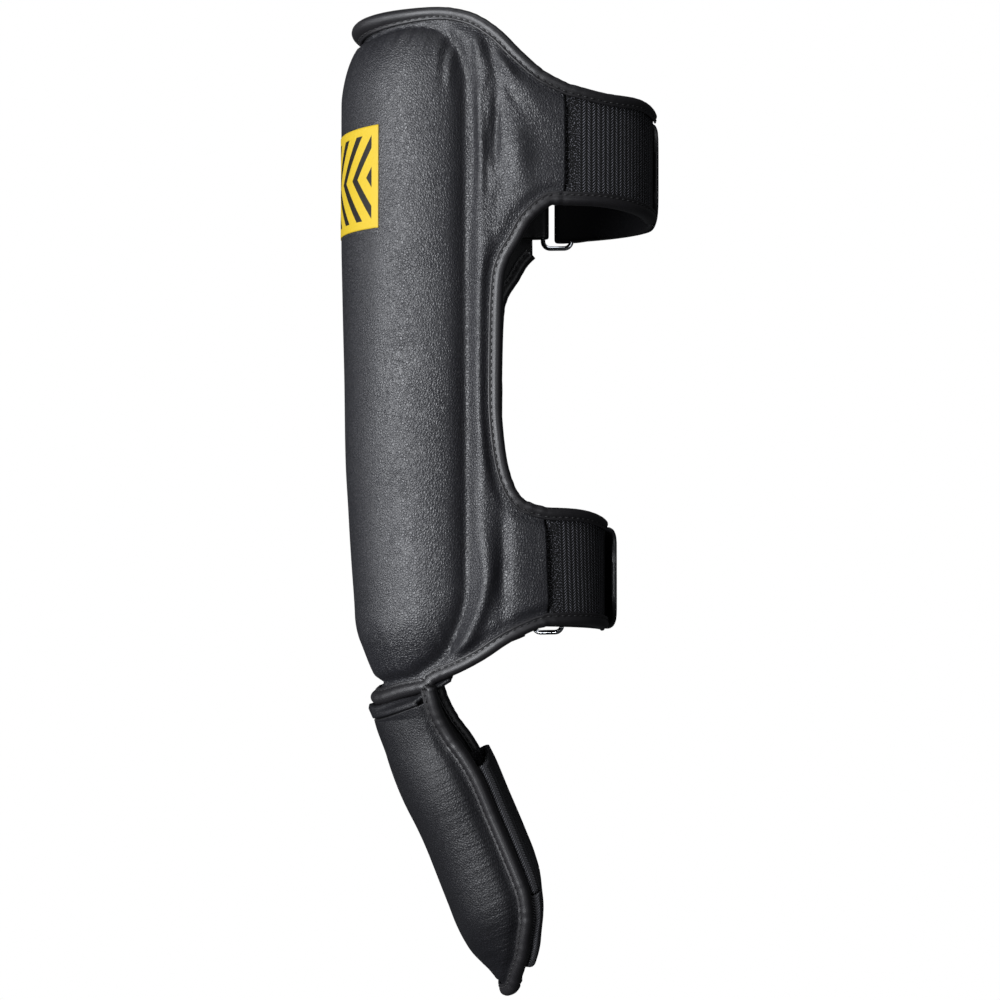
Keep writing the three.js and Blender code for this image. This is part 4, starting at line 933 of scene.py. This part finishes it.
def outer_leaf(across, level):
    """Lift of the tab's outer leaf, which lies on the wing wherever the wing's face is."""
    level = np.full(np.shape(across), level)
    edge = inside_distance(shell_outline, across, level)[0]
    face = shell_lift(across, level, np.maximum(edge, TRIM))
    return np.maximum(EDGE_THICK, face) + GAP + TAB_THICK / 2


for name, (far_end, low, high) in ring_frames.items():
    middle = (low + high) / 2
    radius = WIRE_RADIUS + GAP + TAB_THICK / 2
    under = -GAP - TAB_THICK / 2
    angle = np.pi * np.arange(13)[:, None] / 12
    fold = np.concatenate([far_end + TAB_REACH + radius * np.sin(angle),
                           EDGE_MID - radius * np.cos(angle)], axis=1)
    leaf = far_end - np.linspace(0, TAB_LEAF, 9)
    path = np.concatenate([
        np.stack([leaf[::-1], np.full(9, under)], axis=1), [[far_end + TAB_TURN, under]], fold,
        [[far_end + TAB_TURN, float(outer_leaf(leaf[:1], middle)[0])]],
        np.stack([leaf[1:], outer_leaf(leaf[1:], middle)], axis=1)])
    strap_round("ring_tab_leather_" + name, "ring_tab_" + name, spline(path, 1.0), TAB_THICK,
                partial(level_edges, low, high), STRAP_LOOKS)

# %% [markdown]
# ## Bindings
# A tape of thin smooth leather is folded over every cut edge and sewn through with one row of
# lockstitch. Its section is drawn once and carried along the edge. The tape is pulled in a
# little under the stitches, and puckers where the edge turns sharply.
# %% Binding tape
TAPE_SECTION = [
    (-4.7, 3.75), (-5.0, 4.3), (-4.5, 4.95), (-3.9, 4.85), (-3.3, 4.55), (-2.7, 4.9), (-1.6, 5.3),
    (-0.3, 5.2), (0.9, 4.4), (1.55, 3.1), (1.7, 1.7), (1.55, 0.3), (0.9, -1.0), (-0.3, -1.8),
    (-1.6, -1.9), (-2.7, -1.6), (-3.3, -1.2), (-3.9, -1.55), (-4.5, -1.65), (-5.0, -1.0),
    (-4.7, -0.4), (-2, -0.4), (0.1, 0.2), (0.4, 1.7), (0.1, 3.3), (-2, 3.75)]
STITCH_OUT, STITCH_LENGTH, STITCH_PITCH, STITCH_RADIUS = -3.3, 2.5, 3.5, 0.34
STITCH_LIFTS = 4.85, -1.45                     # on the outer face, on the inner face
STITCH_RINGS = STITCH_SIDES = 6
TAPE_STEP, TAPE_MID, TAPE_PITCH = 1.4, 1.7, 5.1
PUCKER_OUT, PUCKER_LIFT, TURN_PUCKER = 0.16, 0.28, 16


def rounded(section):
    """Chaikin's corner cutting: each side of a closed outline keeps its middle half."""
    p = np.asarray(section, float)
    q = np.roll(p, -1, axis=0)
    return np.stack([0.75 * p + 0.25 * q, 0.25 * p + 0.75 * q], axis=1).reshape(-1, 2)


def edge_frames(path):
    """At each point of a path, the direction on and the flat direction on its right, which
    points out of the sheet."""
    run = unit(np.gradient(path, axis=0))
    return run, np.stack([run[:, 1], -run[:, 0]], axis=1)


def tube_quads(index):
    """Quads between neighbouring rings of points; the last axis runs round each ring."""
    beside = np.roll(index, -1, axis=-1)
    return np.stack([index[..., :-1, :], index[..., 1:, :], beside[..., 1:, :],
                     beside[..., :-1, :]], axis=-1).reshape(-1, 4)


def bind_edge(name, path, form, node):
    """Carries the tape's section along an edge and closes both ends. Returns the even path."""
    path = even_steps(path, TAPE_STEP)
    run, right = edge_frames(path)
    turn = np.abs(np.gradient(np.unwrap(np.arctan2(run[:, 1], run[:, 0]))))
    turn = np.convolve(turn, np.ones(9) / 9, mode="same")
    place = np.arange(len(path)) * TAPE_STEP
    pucker = np.clip(turn * TURN_PUCKER, 0.05, 1) * gathers(place, TAPE_PITCH, len(path))
    section = rounded(TAPE_SECTION)
    out = section[:, 0] + PUCKER_OUT * pucker[:, None]
    lift = section[:, 1] + PUCKER_LIFT * pucker[:, None] * np.sign(section[:, 1] - TAPE_MID)
    rings = form.point(path[:, :1] + right[:, :1] * out, path[:, 1:] + right[:, 1:] * out, lift)
    index = np.arange(out.size).reshape(out.shape)
    half = len(section) // 2
    faces = [tube_quads(index)]
    for row, order in ((index[0], 1), (index[-1], -1)):
        back = row[::-1]
        faces.append(np.stack([row[:half - 1], row[1:half], back[1:half], back[:half - 1]],
                              axis=1)[:, ::order])
    flat = np.stack([np.broadcast_to(place[:, None], out.shape), out], axis=-1).reshape(-1, 2)
    new_piece(name, rings.reshape(-1, 3), np.concatenate(faces), [binding_leather],
              node, uv=flat)
    return path


def stitch_row(path, form, lift):
    """Stitches as short beads of thread: rings of six points that swell and close at both ends,
    laid along the path and pulled into the tape where the needle went through."""
    path = even_steps(path, STITCH_PITCH)
    run, right = edge_frames(path)
    at = np.linspace(-0.5, 0.5, STITCH_RINGS)
    swell = np.array([0.35, 0.85, 1.0, 1.0, 0.85, 0.35])
    lift = lift - 0.55 * (np.abs(at) * 2) ** 3 * np.sign(lift)
    across, along = [path[:, k:k + 1] + right[:, k:k + 1] * STITCH_OUT
                     + run[:, k:k + 1] * at * STITCH_LENGTH for k in (0, 1)]
    middle = form.point(across, along, lift)
    up = form.point(across, along, lift + 1) - middle
    sideways = unit(np.cross(up, np.gradient(middle, axis=1)))
    angle = 2 * np.pi * np.arange(STITCH_SIDES) / STITCH_SIDES
    spokes = (up[:, :, None] * np.cos(angle)[:, None]
              + sideways[:, :, None] * np.sin(angle)[:, None])
    rings = middle[:, :, None] + STITCH_RADIUS * swell[None, :, None, None] * spokes
    index = np.arange(len(path) * STITCH_RINGS * STITCH_SIDES)
    index = index.reshape(len(path), STITCH_RINGS, STITCH_SIDES)
    start = index[:, 0][:, [0, 1, 2, 3, 3, 4, 5, 0]].reshape(-1, 4)
    end = index[:, -1][:, [3, 2, 1, 0, 0, 5, 4, 3]].reshape(-1, 4)
    return rings.reshape(-1, 3), np.concatenate([tube_quads(index), start, end])


def sew(name, paths, form):
    """Stitch rows on both faces along each path, joined to one piece."""
    points, quads, first = [], [], 0
    for path in paths:
        for lift in STITCH_LIFTS:
            p, q = stitch_row(path, form, lift)
            points.append(p)
            quads.append(q + first)
            first += len(p)
    new_piece(name, np.concatenate(points), np.concatenate(quads), [thread])
    print(name + ":", first // (STITCH_RINGS * STITCH_SIDES), "stitches")


# %% Bindings of the shin part
def elastic_edges(wing, rear, table):
    """The lower and the upper edge of an elastic panel as paths, from the wing to the rear."""
    across = level_path(-(wing + 2), -(rear - ELASTIC_END), 0, 2)[:, 0]
    return [np.stack([across, edge], axis=1) for edge in edges_of(table, rear, across)]


(upper_low, upper_top), (lower_low, lower_top) = [
    elastic_edges(wing, rear, table) for _, wing, _, rear, table, *_ in CLOSURES]
TAPES = (
    ("top_tape", "top_binding", (far_top[::-1], near_top[1:], upper_top)),
    ("near_edge_tape", "near_edge_binding", (upper_low[::-1], near_back, lower_top)),
    ("bottom_tape", "bottom_binding", (lower_low[::-1], near_bottom, far_bottom[::-1][1:])),
    ("far_edge_tape", "far_edge_binding", (far_back[::-1],)))
sew("binding_stitches", [bind_edge(name, np.concatenate(parts), leg, node)
                         for name, node, parts in TAPES], leg)

# %% [markdown]
# ## The instep pad
# The small pad is made like the large one, wrapped round a foot and hung from the lower lip. Its
# front panel is gathered into the seam all the way down, one pucker to each stitch, so its grid
# is much finer along than across.
# %% Foot form
FOOT_LENGTH, FOOT_THICK, FOOT_EDGE_THICK, FOOT_WIDTH, FOOT_DEPTH = 171.0, 18.0, 3.4, 94.0, 116.0
FOOT_TILT = math.radians(24.5)
FOOT_PLACE = np.array([-12.0, 0.0, -176.0])
FOOT_FRONT = [(0, -0.1), (0.06, 0), (0.18, 0.34), (0.41, 0.54), (0.67, 0.45), (0.85, 0.28),
              (0.965, 0.08), (1, 0.05)]
FOOT_REACH = 36.0
FOOT_EDGE = [(0.054, 0.9), (0.12, 0.875), (0.18, 0.895), (0.25, 0.965), (0.33, 1), (0.45, 0.985),
             (0.58, 0.97), (0.655, 0.955), (0.71, 0.925), (0.775, 0.82), (0.83, 0.67), (0.88, 0.53),
             (0.925, 0.35), (0.975, 0.16)]
TOE, ARCH_RISE = -0.991 * FOOT_LENGTH, 1.1


def foot_section(along):
    """The front follows the arch of the instep; depth and width stay the same."""
    front = FOOT_THICK * read_table(FOOT_FRONT, -along / FOOT_LENGTH)
    return front, front + FOOT_DEPTH, np.full(np.shape(along), FOOT_WIDTH)


def hung(points):
    """Turns points of the foot about the side-to-side axis, then moves them into place."""
    x, y, z = np.moveaxis(points, -1, 0)
    c, s = math.cos(FOOT_TILT), math.sin(FOOT_TILT)
    return np.stack([c * x - s * z, y, s * x + c * z], axis=-1) + FOOT_PLACE


class TiltedForm(Form):
    """A form that hangs at an angle from a place on the leg."""

    def point(self, across, along, lift):
        """The wrapped point, hung in its place."""
        return hung(Form.point(self, across, along, lift))


foot = TiltedForm(-185, 20, foot_section, lambda across, along: np.zeros(np.shape(across)),
                  level_from=5.0)
near_foot = spline([*[(-float(foot.across_at(x * FOOT_REACH, -w * FOOT_LENGTH)), -w * FOOT_LENGTH)
                      for w, x in FOOT_EDGE], (0, TOE)], 1.5)
top_corner = -near_foot[0, 0]


def arch_level(across):
    """Height of the small pad's top edge, which is arched a little."""
    return near_foot[0, 1] + ARCH_RISE * (1 - (across / top_corner) ** 2)


arch = np.linspace(top_corner, -top_corner, 60)[1:-1]
foot_sides = np.concatenate([near_foot, mirrored(near_foot)[::-1][1:]])
foot_outline = np.concatenate([foot_sides, np.stack([arch, arch_level(arch)], axis=1)])
print("foot outline:", len(foot_outline), "points")

# %% Instep pad
SEAM_IN, FOOT_TRIM = 5.2, 0.3
NECK_FOLD, NECK_DOME, TOE_DOME, SIDE_DOME = 9.0, 54, 44, 24
FOOT_CHANNEL, FOOT_PUCKER, FOOT_PITCH, DRAG, FOOT_WAVE = 0.5, 0.2, 2.4, 0.07, 0.2


def foot_lift(across, along, edge):
    """An edge strip and a sewn channel, then the gathered seam and behind it the dome, which
    falls off to the neck, the toe and the sides. Fine drag lines run in from the gathers."""
    fold_line = NECK_FOLD * (1 + np.clip(np.abs(across) / top_corner, 0, 1) ** 2)
    neck_dome = 1 - (1 - np.clip((-along - fold_line) / NECK_DOME, 0, 1)) ** 2
    toe_dome = 1 - (1 - np.clip((along - TOE - 5.0) / TOE_DOME, 0, 1)) ** 2
    side_dome = (1 - (1 - np.clip((edge - SEAM_IN) / SIDE_DOME, 0, 1)) ** 2) ** 0.75
    dome = (FOOT_THICK - 5.0) * neck_dome * toe_dome * side_dome
    strip = FOOT_EDGE_THICK + 1.6 * smooth((edge - BIND_RIM) / 2.5)
    channel = -FOOT_CHANNEL * bell((edge - SEAM_IN - 1) / 1.2)
    pull = np.exp(-np.clip(edge - SEAM_IN, 0, 99) / 5.0) * smooth((edge - SEAM_IN + 0.8) / 1.2)
    sides = smooth((-along - 22) / 20) * smooth((165 + along) / 15)
    puckers = FOOT_PUCKER * gathers(along, FOOT_PITCH, 0.5) * pull * sides
    drag = DRAG * np.sin(along * 0.9 + 0.12 * across) * bell((edge - 13) / 6) * sides
    waves = FOOT_WAVE * unevenness(across * 1.6, along * 1.6)
    return strip + (dome + channel + puckers + drag + waves) * smooth((edge - BIND_RIM) / 2)


# the top edge is unbound, so the thickness is told from an outline that is raised there
raised = foot_sides + [0, 30.0] * (foot_sides[:, 1:] > near_foot[0, 1] - 0.1)
foot_grid = cut_grid(foot_outline, np.arange(-66.0, 66.1, 1.15),
                     np.arange(-0.995 * FOOT_LENGTH, -0.05 * FOOT_LENGTH, 0.52), FOOT_TRIM)
leather_on_foam("instep_leather", "instep_pad", foot, foot_grid, raised, FOOT_TRIM,
                foot_lift, foot_leather)
rise = near_foot[:1] + [(-2.4, 5.6), (-1.0, 2.8)]
tape_line = np.concatenate([rise, foot_sides, mirrored(rise)[::-1]])
sew("instep_stitches", [bind_edge("instep_tape", tape_line, foot, "instep_binding")], foot)

# %% [markdown]
# ## Bands behind the foot and the neck
# Two wide elastic bands close the small pad behind the foot. The neck is one plain sheet of
# leather from inside the lower lip down to the small pad's top edge.
# %% Sheets through a grid of points
def through(grid, rows, columns):
    """A smooth sheet through a coarse grid: splines down each column, then across each row."""
    down = np.stack([resample(grid[:, c], rows) for c in range(grid.shape[1])], axis=1)
    return np.stack([resample(down[r], columns) for r in range(rows)], axis=0)


def resample(points, count):
    """A Catmull-Rom curve through points in space, read at a fixed number of even steps."""
    fine = spline(points, 0.4)
    at = np.linspace(0, 1, count)
    own = np.linspace(0, 1, len(fine))
    return np.stack([np.interp(at, own, column) for column in fine.T], axis=1)


def thick_sheet(name, node, grid, thickness, looks):
    """Two copies of a grid, half the thickness to either side along its own normal."""
    half = unit(np.cross(np.gradient(grid, axis=1), np.gradient(grid, axis=0))) * thickness / 2
    length, height = [float(np.linalg.norm(np.diff(grid, axis=axis), axis=-1).sum(axis=axis).mean())
                      for axis in (1, 0)]
    flat = np.stack(np.meshgrid(np.linspace(0, length, grid.shape[1]),
                                np.linspace(0, height, grid.shape[0])), axis=-1)
    points, quads, uv, _ = layered(grid - half, grid + half, flat)
    material, slot = looks
    piece = new_piece(name, points, quads, [material], node, uv=uv)
    declare_sheet(piece, length, height)


# %% Elastic bands of the instep pad
BAND_THICK = 2.2
BAND_INSET = 1.2 + 0.5 + 0.3 + BAND_THICK / 2
BAND_TOP, TOE_BAND_BELOW = 0.3, 71
# share of the way to the side, and how far the band waves out there
BAND_WAVE = ((0.88, 0.5), (0.76, -0.7), (0.62, 0.5), (0.45, -0.3), (0.22, 0.2), (0, 0))
edge_by_level = near_foot[np.argsort(-near_foot[:, 1])]


def band_grid(top_share, height):
    """Rows from the seat inside one edge of the pad, out past it and across to the other."""
    grid = []
    for along in np.linspace(-top_share * FOOT_LENGTH, -top_share * FOOT_LENGTH - height, 9):
        edge = float(np.interp(-along, -edge_by_level[:, 1], -edge_by_level[:, 0]))
        spots = Form.point(foot, np.array([edge - 8, edge + 0.5, edge + 2.6]), along,
                           -BAND_INSET * np.array([1, 1, 1.35]))
        x, y, _ = spots[-1]
        cross = [(x + 0.8 * (1 - s * s) + 1 + wave, y * s, along) for s, wave in BAND_WAVE]
        half = np.array([*spots, *cross])
        grid.append(np.concatenate([half * [1, -1, 1], half[::-1][1:]])[::-1])
    return hung(np.array(grid))


for name, top_share, height in (("foot_band", BAND_TOP, 70.0),
                                ("toe_band", BAND_TOP + TOE_BAND_BELOW / FOOT_LENGTH, 34.0)):
    thick_sheet(name + "_web", name, through(band_grid(top_share, height), 40, 90), BAND_THICK,
                (foot_web, "elastic"))

# %% Neck
NECK_LIFT = -(1.2 + 0.5 + 0.6 + 1.0)
NECK_THICK, NECK_SIDE, NECK_FOOT_SIDE = 2.0, 0.335, 0.85
# rows of the neck: height above the lip or the small pad's top edge, and lift
NECK_ON_LEG = [(above, NECK_LIFT) for above in (22, 13, 5.5, 0.5)] + [(-2.6, -0.6), (-3.7, 1.4)]
NECK_ON_FOOT = [(1.9, 3.7), (0.35, 4.0)]
neck_half = float(leg.across_at(NECK_SIDE * WING_REACH, BOTTOM_EDGE[-1][1] * HALF_HEIGHT))
lip_order = np.argsort(-near_bottom[:, 0])


def lip_level(across):
    """Height of the lower lip's edge at a distance across."""
    return np.interp(np.abs(across), -near_bottom[lip_order, 0], near_bottom[lip_order, 1])


t = np.linspace(-1, 1, 25)
a_leg, a_foot = t * neck_half, t * top_corner * NECK_FOOT_SIDE
neck_rows = [leg.point(a_leg, lip_level(a_leg) + above, lift) for above, lift in NECK_ON_LEG]
neck_rows += [foot.point(a_foot, arch_level(a_foot) + above, lift) for above, lift in NECK_ON_FOOT]
thick_sheet("neck_leather", "instep_neck", through(np.array(neck_rows), 40, 110), NECK_THICK,
            (foot_leather, "pad_leather"))

# %% [markdown]
# ## Studio
# The picture is a cut-out on plain white, lit by five large soft boxes: a bright one in front on
# the left, a weaker one on the left, and faint ones far left, overhead and in front on the
# right. The world is white where the camera looks at it and dim for everything else, so that
# the black leather mirrors mostly the lights.
# %% Lights
LIGHTS = {  # place and aim in metres, width and height in metres, power in watts
    "key_box": ((-1.05, -1.60, 0.12), (0.0, 0, -0.07), (0.6, 1.8), 82),
    "side_box": ((-1.60, -0.60, 0.05), (0.0, 0, -0.07), (0.5, 1.6), 20),
    "left_strip": ((-1.7, 0.25, 0.1), (0.0, 0, -0.05), (0.4, 1.5), 5),
    "top_box": ((0.1, -0.5, 1.5), (0.05, 0, 0), (1.0, 0.7), 6),
    "right_box": ((0.75, -1.75, 0.05), (0.05, 0, -0.07), (0.5, 1.4), 5),
}
for name, (place, aim, size, power) in LIGHTS.items():
    data = bpy.data.lights.new(name, "AREA")
    data.shape = "RECTANGLE"
    data.size, data.size_y = size
    data.energy = power
    data.color = (0.94, 0.96, 1.0)
    lamp = bpy.data.objects.new(name, data)
    lamp.location = place
    direction = Vector(np.array(aim) - np.array(place))
    lamp.rotation_euler = direction.to_track_quat("-Z", "Y").to_euler()
    bpy.context.scene.collection.objects.link(lamp)
print("lights:", len(LIGHTS))

world = bpy.data.worlds.new("studio")
bpy.context.scene.world = world
world.use_nodes = True
tree = world.node_tree
tree.nodes.clear()
room = add_node(tree, "ShaderNodeBackground", {}, Color=(0.9, 0.95, 1.0, 1), Strength=0.035)
seen = add_node(tree, "ShaderNodeBackground", {}, Color=(1, 1, 1, 1), Strength=1.0)
direct = add_node(tree, "ShaderNodeLightPath")
mix = add_node(tree, "ShaderNodeMixShader", {}, _0=direct.outputs["Is Camera Ray"],
               _1=room.outputs[0], _2=seen.outputs[0])
add_node(tree, "ShaderNodeOutputWorld", {}, Surface=mix.outputs[0])
bpy.context.scene.view_settings.view_transform = "Standard"
